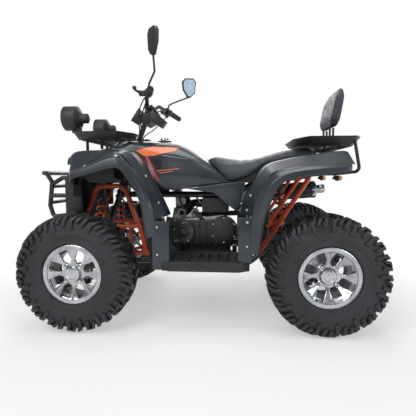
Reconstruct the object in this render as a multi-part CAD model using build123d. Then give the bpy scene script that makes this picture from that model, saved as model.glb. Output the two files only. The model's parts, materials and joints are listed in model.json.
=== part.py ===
from build123d import *
import math
import os

# A quad bike. Millimetres, +X forward, +Y left, +Z up, ground at Z = 0.
# The origin is on the ground, midway along, across and under the whole vehicle.

# Driving dimensions
wheelbase = 1190.0
bumper_reach = 302.0        # bull bar ahead of the front axle
gap = 0.4                   # between pieces that only lie against each other
run = 0.1                   # radial clearance of a pin or shaft that turns

front_tyre_radius = 285.0
front_tyre_half = 89.0      # half the width of a front tyre
front_rim_half = 75.0
front_wheel_y = 439.0       # middle of a front tyre from the centre line
front_dish = 20.0           # wheel face behind the outer lip
rear_tyre_radius = 285.0
rear_tyre_half = 118.0
rear_rim_half = 106.0
rear_wheel_y = 380.0
rear_dish = 44.0

lip_radius = 141.0
bead_radius = 127.0
rim_well_radius = 113.0
rim_wall = 5.0
rim_flange = 6.0
hub_radius = 36.0
window_count = 8
lug_count = 17
lug_height = 17.0
chevron = 16.0              # degrees by which a lug trails at the shoulder
lug_end = 0.62              # share of the pitch where a lug's top ends

front_axle_x = (wheelbase + rear_tyre_radius - bumper_reach) / 2
rear_axle_x = front_axle_x - wheelbase
mid_x = (front_axle_x + rear_axle_x) / 2
front_axle_z = front_tyre_radius
rear_axle_z = rear_tyre_radius

# Steering
kingpin_y = 338.0
kingpin_radius = 8.0
ball_drop = 78.0            # lower ball joint under the axle, upper one above it
knuckle_radius = 15.0
spindle_radius = 12.0
steer_arm = 70.0            # same at the column and at each knuckle
tie_eye_radius = 12.0
tie_eye_height = 11.0
tie_eye_drop = 14.0         # the right rod's eye below the left one's
tie_pin_radius = 6.0
tie_pin_play = 1.2          # the open pivot's clearance
column_rake = 21.0          # degrees back from upright
column_radius = 15.0
pitman_x = front_axle_x + 52.0
pitman_z = 322.0
bar_z = 1130.0              # handlebar clamp
bar_radius = 11.0
bar_half = 420.0            # half the width over the grips

# Frame
rail_y = 100.0
rail_z = 262.0
rail_radius = 15.0
spine_y = 98.0
spine_radius = 13.0
loop_y = 130.0
loop_radius = 13.0
strut_y = 150.0
strut_radius = 13.0

# Bodywork
panel_wall = 5.0
hood_half = 300.0
fender_half = 450.0
flare_reach = 50.0          # a front flare past its fender
rear_fender_half = 440.0
rear_flare_reach = 40.0
seat_half = 178.0
tank_half = 205.0

# Small parts
rack_foot_front = 882.0      # top of the hood under the front rack's legs
rack_foot_back = 892.0
rear_deck_z = 867.0
pad_z = 1008.0              # underside of the backrest's pad
axle_radius = 18.0
footboard_z = 339.0
footboard_thick = 46.0
footboard_in = 190.0
footboard_out = fender_half  # the boards and guards end flush with the front fenders


def front(offset):
    """A place along X, counted from the front axle."""
    return front_axle_x + offset


def rear(offset):
    """A place along X, counted from the rear axle."""
    return rear_axle_x + offset


def middle(offset):
    """A place along X, counted from midway between the axles."""
    return mid_x + offset


def save(name, *solids):
    """Write one node: all its solids in one file."""
    flat = [s for shape in solids for s in shape.solids()]
    shape = flat[0] if len(flat) == 1 else Compound(children=flat)
    export_step(shape, f"parts/{name}.step")


def mirrored(shape):
    """The same piece on the right-hand side."""
    return mirror(shape, about=Plane.XZ)


def rod(start, end, radius):
    """A round bar between two points."""
    line = Vector(*end) - Vector(*start)
    return Solid.make_cylinder(radius, line.length, Plane(origin=start, z_dir=line))


def tube(points, radius, bend):
    """A round bar along straight runs with rounded corners."""
    path = FilletPolyline(*points, radius=bend) if len(points) > 2 else Polyline(*points)
    section = Plane(origin=path @ 0, z_dir=path % 0) * Circle(radius)
    return sweep(section, path=path)


def block(low, high):
    """A box between two corners."""
    size = [b - a for a, b in zip(low, high)]
    return Pos(*low) * Box(*size, align=(Align.MIN, Align.MIN, Align.MIN))


def side_plate(outline, low_y, high_y):
    """A plate whose outline is drawn from the side, as X and Z."""
    face = make_face(Polyline(*[(x, low_y, z) for x, z in outline], close=True))
    return extrude(face, amount=high_y - low_y, dir=(0, 1, 0))


def plan_plate(outline, low_z, high_z):
    """A plate whose outline is drawn from above, as X and Y."""
    face = make_face(Polyline(*[(x, y, low_z) for x, y in outline], close=True))
    return extrude(face, amount=high_z - low_z, dir=(0, 0, 1))


def turned(profile, centre, outward):
    """A solid of revolution about Y, from points given as distance outward and radius."""
    cx, cy, cz = centre
    points = [(cx + r, cy + outward * a, cz) for a, r in profile]
    face = make_face(Polyline(*points, close=True))
    return revolve(face, axis=Axis((cx, cy, cz), (0, 1, 0)))


def skin(sections):
    """A solid with flat facets between sections that have as many corners each."""
    wires = [Wire.make_polygon([Vector(*p) for p in s], close=True) for s in sections]
    solid = Solid.make_loft(wires, ruled=True)
    return solid if solid.volume > 0 else -solid


def slanted(top, low, profile):
    """A section between a top and a low point (X, Z), from shares down it and a Y."""
    (tx, tz), (lx, lz) = top, low
    return [(tx + s * (lx - tx), y, tz + s * (lz - tz)) for s, y in profile]


def both_ways(half):
    """A half profile from the centre line outwards, closed with its mirror image."""
    return half + [(s, -y) for s, y in reversed(half)]


# Wheels
def rim(half, dish, centre, outward, hub_length):
    """An alloy rim with eight windows, a hub behind its face and a cap in front."""
    well = half - 40
    outer = [(half, lip_radius), (half - rim_flange, lip_radius)]
    outer += [(half - rim_flange, bead_radius), (half - 28, bead_radius)]
    outer += [(well, rim_well_radius), (-well, rim_well_radius)]
    outer += [(28 - half, bead_radius), (rim_flange - half, bead_radius)]
    outer += [(rim_flange - half, lip_radius), (-half, lip_radius)]
    inner = [(-half, bead_radius - rim_wall), (26 - half, bead_radius - rim_wall)]
    inner += [(38 - half, rim_well_radius - rim_wall), (half - 38, rim_well_radius - rim_wall)]
    inner += [(half - 26, bead_radius - rim_wall), (half, bead_radius - rim_wall)]
    barrel = turned(outer + inner, centre, outward)
    face_out = half - 6
    hub_face = half - dish
    hub_in = hub_face - 12
    face = [(face_out, bead_radius - 3), (hub_face, 58), (hub_face, 40)]
    face += [(hub_face + 12, 34), (hub_face + 12, 0)]
    face += [(hub_in, 0), (hub_in, 58), (face_out - 9, bead_radius - 3)]
    disc = turned(face, centre, outward)
    cx, cy, cz = centre
    for i in range(window_count):
        turn = Rot(0, (i + 0.5) * 360 / window_count, 0)
        slot = Pos(91, 0, 0) * Box(52, 4 * half, 40)
        slot += Pos(66, 0, 0) * Rot(90, 0, 0) * Cylinder(15, 4 * half)
        disc -= Pos(cx, cy, cz) * turn * slot
    hub = turned([(hub_in + 1, 0), (hub_in + 1, hub_radius), (hub_in - hub_length, hub_radius),
                  (hub_in - hub_length, 0)], centre, outward)
    return barrel + disc + hub


def tread_ring(shares, a, shift, centre, outward):
    """Corners around the wheel, from shares of a lug's pitch with their radii."""
    cx, cy, cz = centre
    pitch = 360 / lug_count
    # Turned so that a lug's trailing corner is the lowest point
    start = 180 - (lug_count // 2 + lug_end) * pitch
    points = []
    for i in range(lug_count):
        for share, r in shares:
            angle = math.radians(start + (i + share) * pitch + shift)
            points.append((cx + r * math.sin(angle), cy + outward * a, cz + r * math.cos(angle)))
    return points


def plain_ring(r, a, centre, outward):
    """A ring with two corners a lug, whose flats stay outside the radius."""
    flat = r / math.cos(math.pi / (2 * lug_count))
    return tread_ring([(0.0, flat), (0.5, flat)], a, chevron, centre, outward)


def band(first, second):
    """Flat triangles between two rings, of which one may have twice the corners."""
    many, few = (first, second) if len(first) >= len(second) else (second, first)
    step = len(many) // len(few)
    faces = []
    for i, corner in enumerate(few):
        after = few[(i + 1) % len(few)]
        part = [many[(i * step + j) % len(many)] for j in range(step + 1)]
        corners = [(corner, part[j], part[j + 1]) for j in range(step)] + [(corner, part[step], after)]
        faces += [Face(Wire.make_polygon([Vector(*c) for c in three], close=True)) for three in corners]
    return faces


def tyre(radius, half, rim_half, centre, outward):
    """A tyre with chevron lugs that run over the shoulders, resting on a lug."""
    root = radius - lug_height
    bead = rim_half - rim_flange - gap

    def lugs(top, low, a, shift):
        shares = [(0.0, low), (0.12, top), (lug_end, top), (lug_end + 0.12, low)]
        return tread_ring(shares, a, shift, centre, outward)

    def side(sign):
        return [
            plain_ring(bead_radius + gap, sign * bead, centre, outward),
            plain_ring(lip_radius + gap, sign * bead, centre, outward),
            plain_ring(178, sign * half * 0.95, centre, outward),
            lugs(219, 216, sign * half, chevron),
            lugs(radius - 21, root - 20, sign * (half - 6), 0.75 * chevron),
            lugs(radius - 3, root - 2, sign * (half - 28), 0.5 * chevron),
        ]

    rings = side(-1) + [lugs(radius, root, 0, 0)] + side(1)[::-1]
    faces = []
    for i, ring in enumerate(rings):
        faces += band(ring, rings[(i + 1) % len(rings)])
    solid = Solid(Shell(faces))
    return solid if solid.volume > 0 else -solid


def make_wheels():
    for side, word in ((1, "left"), (-1, "right")):
        centre = (front_axle_x, side * front_wheel_y, front_axle_z)
        hub = front_rim_half - front_dish - 12
        wheel = rim(front_rim_half, front_dish, centre, side, hub + 28)
        reach = kingpin_y + knuckle_radius
        bore = rod((front_axle_x, side * reach, front_axle_z),
                   (front_axle_x, side * (front_wheel_y + hub - 8), front_axle_z), spindle_radius + run)
        save(f"rim_front_{word}", wheel - bore)
        save(f"tyre_front_{word}", tyre(front_tyre_radius, front_tyre_half, front_rim_half, centre, side))
    rear_rims = []
    for side, word in ((1, "left"), (-1, "right")):
        centre = (rear_axle_x, side * rear_wheel_y, rear_axle_z)
        wheel = rim(rear_rim_half, rear_dish, centre, side, 60)
        rear_rims.append(wheel)
        save(f"tyre_rear_{word}", tyre(rear_tyre_radius, rear_tyre_half, rear_rim_half, centre, side))
    save("rear_rims", *rear_rims)


# Rear axle with its brake disc and sprocket
disc_y = -62.0
sprocket_y = 62.0
carrier_half = 44.0
carrier_radius = 42.0
swingarm_x = middle(-238)
swingarm_z = 318.0
tow_x = rear(-72)
tow_z = 281.0
tow_plate = 8.0
tow_bore = 10.0


def rear_hub_end():
    return rear_wheel_y + rear_rim_half - rear_dish - 12 - 60


def toothed_disc(radius, teeth, low_y, high_y):
    points = []
    for i in range(teeth):
        for share, r in ((0.0, radius - 7), (0.3, radius), (0.55, radius), (0.85, radius - 7)):
            angle = 2 * math.pi * (i + share) / teeth
            points.append((rear_axle_x + r * math.cos(angle), rear_axle_z + r * math.sin(angle)))
    return side_plate(points, low_y, high_y)


def make_rear_axle():
    end = rear_hub_end() - gap
    shaft = rod((rear_axle_x, -end, rear_axle_z), (rear_axle_x, end, rear_axle_z), axle_radius)
    disc = rod((rear_axle_x, disc_y - 3, rear_axle_z), (rear_axle_x, disc_y + 3, rear_axle_z), 92)
    sprocket = toothed_disc(96, 24, sprocket_y - 4, sprocket_y + 4)
    flanges = [rod((rear_axle_x, y - 9, rear_axle_z), (rear_axle_x, y + 9, rear_axle_z), 34)
               for y in (disc_y - 9, sprocket_y + 9)]
    hubs = [rod((rear_axle_x, s * (end - 14), rear_axle_z), (rear_axle_x, s * end, rear_axle_z), hub_radius)
            for s in (1, -1)]
    axle = shaft + disc + sprocket
    for piece in flanges + hubs:
        axle += piece
    save("rear_axle", axle)


def make_swingarm():
    carrier = rod((rear_axle_x, -carrier_half, rear_axle_z), (rear_axle_x, carrier_half, rear_axle_z),
                  carrier_radius)
    arm = skin([
        [(swingarm_x, y, z) for y, z in ((-34, 296), (34, 296), (34, 340), (-34, 340))],
        [(rear(30), y, z) for y, z in ((-34, 258), (34, 258), (34, 312), (-34, 312))],
    ])
    pivot = rod((swingarm_x, -78, swingarm_z), (swingarm_x, 78, swingarm_z), 24)
    shock_lug = rod((middle(-430), -14, 352), (middle(-430), 14, 352), 14)
    shock_lug += block((middle(-444), -14, 300), (middle(-416), 14, 352))
    bore = rod((rear_axle_x, -200, rear_axle_z), (rear_axle_x, 200, rear_axle_z), axle_radius + run)
    hitch = block((tow_x - 22, -26, tow_z), (rear(-30), 26, tow_z + tow_plate))
    hitch -= rod((tow_x, 0, tow_z - 5), (tow_x, 0, tow_z + 20), tow_bore)
    save("swingarm", (arm + carrier + pivot + shock_lug + hitch) - bore)


# Frame
arm_front_x = front(76)
arm_rear_x = front(-90)
arm_y = 165.0
arm_bush_radius = 14.0
arm_low_z = front_axle_z - 48
arm_high_z = front_axle_z + 96
ring_half = 12.0            # half the height of a ball joint's ring
shock_y = 262.0
shock_seat_z = 220.0
shock_top_z = 674.0


def make_frame_main():
    """Lower rails, upper rails and the cross members that join them."""
    solids = []
    for side in (1, -1):
        y = side * rail_y
        lower = tube([(front(60), y, rail_z), (middle(-250), y, rail_z), (middle(-330), y, 330),
                      (middle(-352), side * spine_y, 700)], rail_radius, 40)
        y = side * spine_y
        upper = tube([(front(-112), y, 640), (middle(-140), y, 640), (middle(-300), y, 716),
                      (rear(-95), y, 790)], spine_radius, 60)
        front_post = rod((middle(300), side * rail_y, rail_z), (front(-150), side * spine_y, 640), 11)
        solids += [lower, upper, front_post]
    frame = solids[0]
    for piece in solids[1:]:
        frame += piece
    for x, z, half, radius in ((front(40), rail_z, rail_y, 12), (middle(0), rail_z, rail_y, 12),
                               (middle(-250), rail_z, rail_y, 12), (front(-112), 640, spine_y, 12),
                               (middle(-345), 600, spine_y + 3, 10), (rear(-85), 788, spine_y, 12),
                               (middle(-420), 739, spine_y, 10)):
        frame += rod((x, -half, z), (x, half, z), radius)
    return frame


def column_point(z):
    """Where the steering axis is at a height."""
    return front(52) - (z - pitman_z) * math.tan(math.radians(column_rake))


def make_frames():
    main = make_frame_main()
    # The mount for the swingarm's pivot, and the column's bush under the tank
    for side in (1, -1):
        ear = block((swingarm_x - 26, min(side * 78.4, side * 100), 277 - 12),
                    (swingarm_x + 26, max(side * 78.4, side * 100), 352))
        main += ear
    bush_z = 700.0
    axis = Vector(-math.sin(math.radians(column_rake)), 0, math.cos(math.radians(column_rake)))
    centre = Vector(column_point(bush_z), 0, bush_z)
    bush = Solid.make_cylinder(26, 50, Plane(origin=centre - axis * 25, z_dir=axis))
    yoke = rod((front(-112), -spine_y, 640), (front(-112), spine_y, 640), 12)
    yoke += block((front(-128), -30, 636), (column_point(bush_z), 30, 690))
    column_bore = Solid.make_cylinder(column_radius + 6, 900, Plane(origin=centre - axis * 450, z_dir=axis))
    collar_bore = Solid.make_cylinder(column_radius + run, 900, Plane(origin=centre - axis * 450, z_dir=axis))
    main = (main + (yoke - column_bore) + bush) - collar_bore
    save("frame_main", main)

    front_solids = []
    for side in (1, -1):
        y = side * loop_y
        loop = tube([(front(62), y, 214), (front(78), y, 549), (front(18), y, 686), (front(-109), y, 692),
                     (front(-145), y, 668), (front(-231), y, 432), (front(-262), y, 300)], loop_radius, 22)
        cross = rod((front(70), y, 463), (front(-219), y, 463), 11)
        post = rod((arm_rear_x, y, 214), (arm_rear_x, y, 463), 11)
        foot = rod((front(64), y, 226), (front(-255), y, 320), 11)
        piece = loop + cross + post + foot
        for x in (arm_front_x - 12, arm_rear_x):
            for z in (arm_low_z, arm_high_z):
                piece += block((x - 12, min(side * loop_y, side * (arm_y - arm_bush_radius - gap)), z - 12),
                               (x + 12, max(side * loop_y, side * (arm_y - arm_bush_radius - gap)), z + 12))
        low, high = sorted((side * (rail_y + rail_radius + gap), side * loop_y))
        piece += block((front(52), low, rail_z - 8), (front(66), high, rail_z + 8))
        front_solids.append(piece)
    rung_low = rod((front(63), -loop_y, 226), (front(63), loop_y, 226), 11)
    rung_high = rod((front(18), -loop_y, 684), (front(18), loop_y, 684), 11)
    save("frame_front", front_solids[0] + front_solids[1] + rung_low + rung_high)

    rear_frame = None
    for side in (1, -1):
        y = side * strut_y
        long_strut = rod((rear(37), y, 737), (middle(-295), y, 325), strut_radius)
        short_strut = rod((rear(86), y, 737), (middle(-360), y, 508), strut_radius - 3)
        tie = rod((middle(-338), y, 470), (middle(-415), y, 510), 9)
        piece = long_strut + short_strut + tie
        low, high = sorted((side * 128, side * strut_y))
        piece += block((middle(-300), low, 318), (middle(-284), high, 350))
        rear_frame = piece if rear_frame is None else rear_frame + piece
    for x in (37, 86):
        under_rail = 716 + (rear(x) - middle(-300)) * (790 - 716) / (rear(-95) - middle(-300))
        z = under_rail - spine_radius / math.cos(math.atan2(74, middle(-300) - rear(-95))) - 11 - gap
        rear_frame += rod((rear(x), -strut_y, z), (rear(x), strut_y, z), 11)
    save("frame_rear", rear_frame)


# Front suspension and steering
def make_suspension_arms():
    """Four A-arms: two legs each from the frame to a ring at the kingpin."""
    arms = []
    for side in (1, -1):
        for z_in, z_out in ((arm_low_z, front_axle_z - ball_drop), (arm_high_z, front_axle_z + ball_drop)):
            ring = rod((front_axle_x, side * kingpin_y, z_out - ring_half),
                       (front_axle_x, side * kingpin_y, z_out + ring_half), 19)
            arm = ring
            for x in (arm_front_x - 12, arm_rear_x):
                arm += rod((x, side * arm_y, z_in), (front_axle_x, side * kingpin_y, z_out), 8)
                arm += rod((x - 20, side * arm_y, z_in), (x + 20, side * arm_y, z_in), arm_bush_radius)
            arm -= rod((front_axle_x, side * kingpin_y, z_out - 30),
                       (front_axle_x, side * kingpin_y, z_out + 30), kingpin_radius + run)
            if z_out < front_axle_z:
                y = side * shock_y
                arm += rod((front(39), y, shock_seat_z), (front(-40), y, shock_seat_z), 8)
            arms.append(arm)
    save("suspension_arms", *arms)


def make_knuckles():
    for side, word in ((1, "left"), (-1, "right")):
        y = side * kingpin_y
        low = front_axle_z - ball_drop + ring_half + gap
        high = front_axle_z + ball_drop - ring_half - gap
        profile = [(0, low - 22), (kingpin_radius, low - 22), (kingpin_radius, low), (knuckle_radius, low),
                   (knuckle_radius, high), (kingpin_radius, high), (kingpin_radius, high + 22),
                   (0, high + 22)]
        face = make_face(Polyline(*[(front_axle_x + r, y, z) for r, z in profile], close=True))
        body = revolve(face, axis=Axis((front_axle_x, y, 0), (0, 0, 1)))
        end = front_wheel_y + front_rim_half - front_dish - 12 - 9
        body += rod((front_axle_x, y, front_axle_z), (front_axle_x, side * end, front_axle_z), spindle_radius)
        # The steering arm points back, with an upright pin for the tie rod's eye
        arm = side_plate([(front(0), 272), (front(-steer_arm - 9), 272), (front(-steer_arm - 9), 288),
                          (front(0), 288)],
                         y - 9, y + 9)
        pin = rod((front(-steer_arm), y, 280), (front(-steer_arm), y, 322), tie_pin_radius)
        head = rod((front(-steer_arm), y, 318), (front(-steer_arm), y, 323), tie_pin_radius + 4)
        save(f"knuckle_{word}", body + arm + pin + head)


def steering_axis():
    rake = math.radians(column_rake)
    return Vector(-math.sin(rake), 0, math.cos(rake))


def pitman_pin(drop):
    """A point on the pin at the end of the column's lower arm, counted down along it."""
    rake = math.radians(column_rake)
    top = Vector(pitman_x - steer_arm * math.cos(rake), 0, pitman_z - steer_arm * math.sin(rake))
    return top - steering_axis() * drop


def make_tie_rods():
    axis = steering_axis()
    for side, word in ((1, "left"), (-1, "right")):
        near = pitman_pin(0 if side > 0 else tie_eye_drop)
        far = Vector(front(-steer_arm), side * kingpin_y, 303)
        eye_plane = Plane(origin=near - axis * tie_eye_height / 2, z_dir=axis)
        eye = Solid.make_cylinder(tie_eye_radius, tie_eye_height, eye_plane)
        end = rod((far.X, far.Y, far.Z - 6), (far.X, far.Y, far.Z + 6), tie_eye_radius)
        body = rod(tuple(near), tuple(far), 5) + eye + end
        body -= Solid.make_cylinder(tie_pin_radius + run, 40, Plane(origin=near - axis * 20, z_dir=axis))
        body -= rod((far.X, far.Y, far.Z - 20), (far.X, far.Y, far.Z + 20), tie_pin_radius + tie_pin_play)
        save(f"tie_rod_{word}", body)


def make_steering_column():
    axis = steering_axis()
    base = Vector(pitman_x, 0, pitman_z)
    length = (bar_z - pitman_z) / axis.Z
    column = Solid.make_cylinder(column_radius, length - 20, Plane(origin=base - axis * 12, z_dir=axis))
    rake = math.radians(column_rake)
    back = Vector(-math.cos(rake), 0, -math.sin(rake))
    plate = Plane(origin=base + axis * 7, x_dir=back, z_dir=axis)
    tip = steer_arm + 12
    outline = Polyline((-16, -15), (-16, 15), (tip, 13), (tip, -13), close=True)
    web = extrude(plate * make_face(outline), 8)
    arm = column + web
    pin_end = tie_eye_drop + 9
    arm += Solid.make_cylinder(tie_pin_radius, pin_end + 10, Plane(origin=pitman_pin(pin_end), z_dir=axis))
    clamp = Solid.make_cylinder(26, 22, Plane(origin=base + axis * (length - 44), z_dir=axis))
    save("steering_column", arm + clamp)


bar_x = pitman_x - (bar_z - pitman_z) * math.tan(math.radians(column_rake))


def make_handlebar():
    half = [(bar_x, 0, bar_z + 6), (bar_x, 60, bar_z + 6), (bar_x - 20, 150, bar_z + 52),
            (bar_x - 50, 240, bar_z + 40), (bar_x - 104, bar_half - 4, bar_z + 17)]
    left = tube(half, bar_radius, 38)
    clamp = block((bar_x - 22, -34, bar_z - 15.5), (bar_x + 22, 34, bar_z + 24))
    save("handlebar", left + mirrored(left) + clamp)
    return half


def along(start, end, share):
    return tuple(a + share * (b - a) for a, b in zip(start, end))


def make_controls(half):
    """Grips, switch housings and brake levers."""
    start, end = half[-2], half[-1]
    grip = rod(along(start, end, 0.36), along(start, end, 1.02), bar_radius + 6)
    bore = rod(along(start, end, -0.2), along(start, end, 1.0), bar_radius + gap)
    grip -= bore
    save("grips", grip, mirrored(grip))
    hollow = rod(along(start, end, -0.3), along(start, end, 0.5), bar_radius + gap)
    housing = rod(along(start, end, 0.02), along(start, end, 0.30), 22)
    px, py, pz = along(start, end, 0.12)
    perch = block((px + 4, py - 14, pz - 12), (px + 46, py + 14, pz + 12))
    lx, ly, lz = px + 38, py, pz
    lever = tube([(lx, ly, lz), (lx + 14, ly + 60, lz + 4), (lx - 6, ly + 140, lz - 6)], 6, 40)
    tip = rod((lx - 6, ly + 134, lz - 5.5), (lx - 6, ly + 146, lz - 6.5), 9)
    left = (housing + perch + lever + tip) - hollow
    save("hand_controls", left, mirrored(left))


def make_dash_pod():
    """The instrument box behind a wind-cut front plate, carried by the handlebar clamp."""
    base = bar_x - 8
    pod = side_plate([(base + 66, bar_z - 20), (base + 74, bar_z - 62), (base + 26, bar_z - 92),
                      (base - 42, bar_z - 60), (base - 34, bar_z - 34)], -88, 88)
    foot = Plane(origin=Vector(pitman_x, 0, pitman_z), z_dir=steering_axis())
    bore = Solid.make_cylinder(26 + gap, 900, foot)
    save("dash_pod", pod - bore)


mirror_depth = 20.0
glass_thick = 3.0


def mirror_head(centre, facing):
    """A mirror's shell and its glass, which looks towards an angle seen from above."""
    outline = [(-48, 40), (-30, 62), (30, 66), (48, 44), (40, -30), (8, -62), (-12, -60), (-44, -10)]
    across = math.radians(facing)
    plane = Plane(origin=centre, x_dir=(-math.sin(across), math.cos(across), 0),
                  z_dir=(math.cos(across), math.sin(across), 0))

    def flat(scale):
        return plane * make_face(Polyline(*[(scale * a, scale * b) for a, b in outline], close=True))

    shell = extrude(flat(1.0), -mirror_depth) - extrude(flat(0.9), -glass_thick - gap)
    glass = extrude(flat(0.88), -glass_thick)
    return shell, glass, plane


def make_mirrors(half):
    start, end = half[-2], half[-1]
    sx, sy, sz = along(start, end, 0.16)
    heads, glasses = [], []
    for side, centre, bend, facing in ((1, (middle(222), 352, 1386), (middle(236), 306, 1262), 216),
                                       (-1, (middle(148), 352, 1340), (middle(244), 306, 1236), 118)):
        centre = (centre[0], side * centre[1], centre[2])
        shell, glass, plane = mirror_head(centre, facing)
        foot = plane.from_local_coords((0, -58, -mirror_depth / 2))
        stem = tube([(sx, side * sy, sz + 23.4), (sx - 4, side * sy, sz + 46),
                     (bend[0], side * bend[1], bend[2]), tuple(foot)], 5, 10)
        heads.append(shell + stem)
        glasses.append(glass)
    save("mirrors", *heads)
    save("mirror_glass", *glasses)


# Bodywork
hood_bend_x = front(-22)
hood_back_x = front(-120)


def swept_back(anchor, k, line, wall):
    """One section of the front fender's top, in an upright plane that is swept back."""
    x, z = anchor
    outer = [(x - k * (y - hood_half), y, z - s) for s, y in line]
    inner = [(x - k * (y - hood_half), y, z - s - wall) for s, y in reversed(line)]
    return outer + inner


def leg_section(anchor, into, line, wall):
    (x, z), (dx, dz) = anchor, into
    outer = [(x + s * dx, y, z + s * dz) for s, y in line]
    inner = [(x + (s + wall) * dx, y, z + (s + wall) * dz) for s, y in reversed(line)]
    return outer + inner


def make_front_bodywork():
    inside, edge = hood_half + gap, fender_half
    ends = (inside, 390, edge)

    def line(drop):
        return list(zip((0, drop * 0.12, drop), ends))

    fender = skin([
        swept_back((front(92), 846), 0.48, line(108), panel_wall),
        swept_back((front(58), 876), 0.40, line(96), panel_wall),
        swept_back((front(-25), 876), 0.25, line(66), panel_wall),
        swept_back((front(-109), 875), 0.10, line(38), panel_wall),
        swept_back((front(-180), 874), 0.0, line(12), panel_wall),
        leg_section((front(-255), 872), (0.45, -0.89), line(34), panel_wall),
        leg_section((front(-311), 810), (0.75, -0.66), line(30), panel_wall),
        leg_section((front(-388), 659), (0.93, -0.37), line(32), panel_wall),
        leg_section((front(-440), 549), (0.98, -0.17), line(60), panel_wall),
    ])

    def hood_section(x, centre, shoulder, edge_z, low):
        outer = [(hood_half, low), (hood_half - 16, edge_z), (150, shoulder), (0, centre)]
        inner = [(hood_half - panel_wall, low), (hood_half - 18, edge_z - panel_wall),
                 (150, shoulder - panel_wall), (0, centre - panel_wall)]
        over = outer + [(-y, z) for y, z in reversed(outer[:-1])]
        under = inner + [(-y, z) for y, z in reversed(inner[:-1])]
        return [(x, y, z) for y, z in over + under[::-1]]

    hood = skin([
        hood_section(front(108), 852, 850, 842, 800),
        hood_section(front(60), rack_foot_front + 2, rack_foot_front, 872, 820),
        hood_section(hood_bend_x, rack_foot_back + 4, rack_foot_back, 872, 820),
        hood_section(hood_back_x, 940, 934, 876, 830),
    ])
    save("front_bodywork", hood, fender, mirrored(fender))


def flare_station(upper, lower, upper_y, ridge_y, lower_y, wall):
    """One section of a flare, from its upper line over a ridge to its lower edge."""
    (ux, uz), (lx, lz) = upper, lower
    length = math.hypot(lx - ux, lz - uz)
    into = ((lx - ux) / length, (lz - uz) / length)
    ridge = 0.45 * length
    line = [(0, upper_y), (ridge, ridge_y), (length, lower_y)]
    back = [(length, lower_y - wall), (ridge + wall, ridge_y - wall - 1), (wall * 1.6, upper_y)]
    return [(ux + s * into[0], y, uz + s * into[1]) for s, y in line + back]


def make_front_flares():
    edge = fender_half + gap
    lines = [((front(19), 772), (front(1), 735)), ((front(-95), 822), (front(-105), 762)),
             ((front(-196), 868), (front(-213), 794)), ((front(-234), 838), (front(-246), 772)),
             ((front(-280), 786), (front(-272), 736)), ((front(-322), 741), (front(-306), 684)),
             ((front(-362), 655), (front(-326), 626)), ((front(-382), 573), (front(-333), 566)),
             ((front(-384), 505), (front(-333), 508)), ((front(-372), 451), (front(-350), 451))]
    shares = [0.96, 1, 1, 1, 0.92, 0.84, 0.64, 0.40, 0.28, 0.12]
    flare = skin([flare_station(u, l, edge, fender_half + (share - 0.12) * flare_reach,
                                fender_half + share * flare_reach, panel_wall)
                  for (u, l), share in zip(lines, shares)])
    save("front_flares", flare, mirrored(flare))


def make_tank_cover():
    def half(a, b, c, d):
        return both_ways([(0.0, a), (0.3, b), (0.65, c), (1.0, d)])

    cover = skin([
        slanted((hood_back_x - gap, 938), (hood_back_x - gap, 884), half(150, 236, 280, 290)),
        slanted((front(-190), 947), (front(-190), 860), half(132, 222, 262, 290)),
        slanted((front(-269), 947), (front(-277), 780), half(112, 200, 225, 250)),
        slanted((middle(247), 946), (middle(225), 668), half(100, 178, tank_half, 190)),
        slanted((middle(172), 944), (middle(150), 668), half(90, 170, tank_half, 188)),
        slanted((middle(88), 910), (middle(30), 688), half(82, 160, 196, 184)),
        slanted((middle(32), 869), (middle(-84), 706), half(72, 146, 182, 178)),
        slanted((middle(0), 845), (middle(-128), 715), half(60, 132, 168, 174)),
    ])
    clearance = Solid.make_cylinder(column_radius + 12, 900,
                                    Plane(origin=Vector(pitman_x, 0, pitman_z), z_dir=steering_axis()))
    for side in (1, -1):
        low, high = sorted((side * (spine_y - 12), side * (spine_y + 12)))
        cover += block((middle(160), low, 640 + spine_radius + gap), (middle(200), high, 680))
    save("tank_cover", cover - clearance)


def make_seat():
    def half(a, b, c, d):
        return both_ways([(0.0, a), (0.22, b), (0.65, c), (1.0, d)])

    seat = skin([
        slanted((middle(-0.6), 845), (middle(-128.6), 715), half(58, 120, 162, 172)),
        slanted((middle(-44), 854), (middle(-152), 717), half(96, 140, 172, seat_half)),
        slanted((middle(-120), 838), (middle(-190), 727), half(104, 146, 176, seat_half)),
        slanted((middle(-191), 829), (middle(-230), 740), half(108, 148, 176, seat_half)),
        slanted((middle(-260), 838), (middle(-275), 776), half(112, 150, 176, seat_half)),
        slanted((middle(-322), 856), (middle(-324), 812), half(116, 152, 176, seat_half)),
        slanted((middle(-435), 888), (middle(-435), 836), half(122, 156, 176, seat_half)),
        slanted((middle(-541), 901), (middle(-541), 850), half(120, 154, 174, seat_half - 4)),
        slanted((middle(-600), 903), (middle(-600), 866), half(110, 146, 166, seat_half - 10)),
    ])
    save("seat", seat)


def make_side_panels():
    panel = side_plate([(middle(94), 680), (middle(-110), 708), (middle(-218), 716), (middle(-198), 610),
                        (middle(-172), 560), (middle(-118), 600), (middle(-53), 656)],
                       tank_half + gap, tank_half + 14)
    bracket = block((middle(-190), spine_y + spine_radius + gap, 655), (middle(-160), tank_half + 2, 671))
    panel = panel + bracket
    save("side_panels", panel, mirrored(panel))


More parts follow.
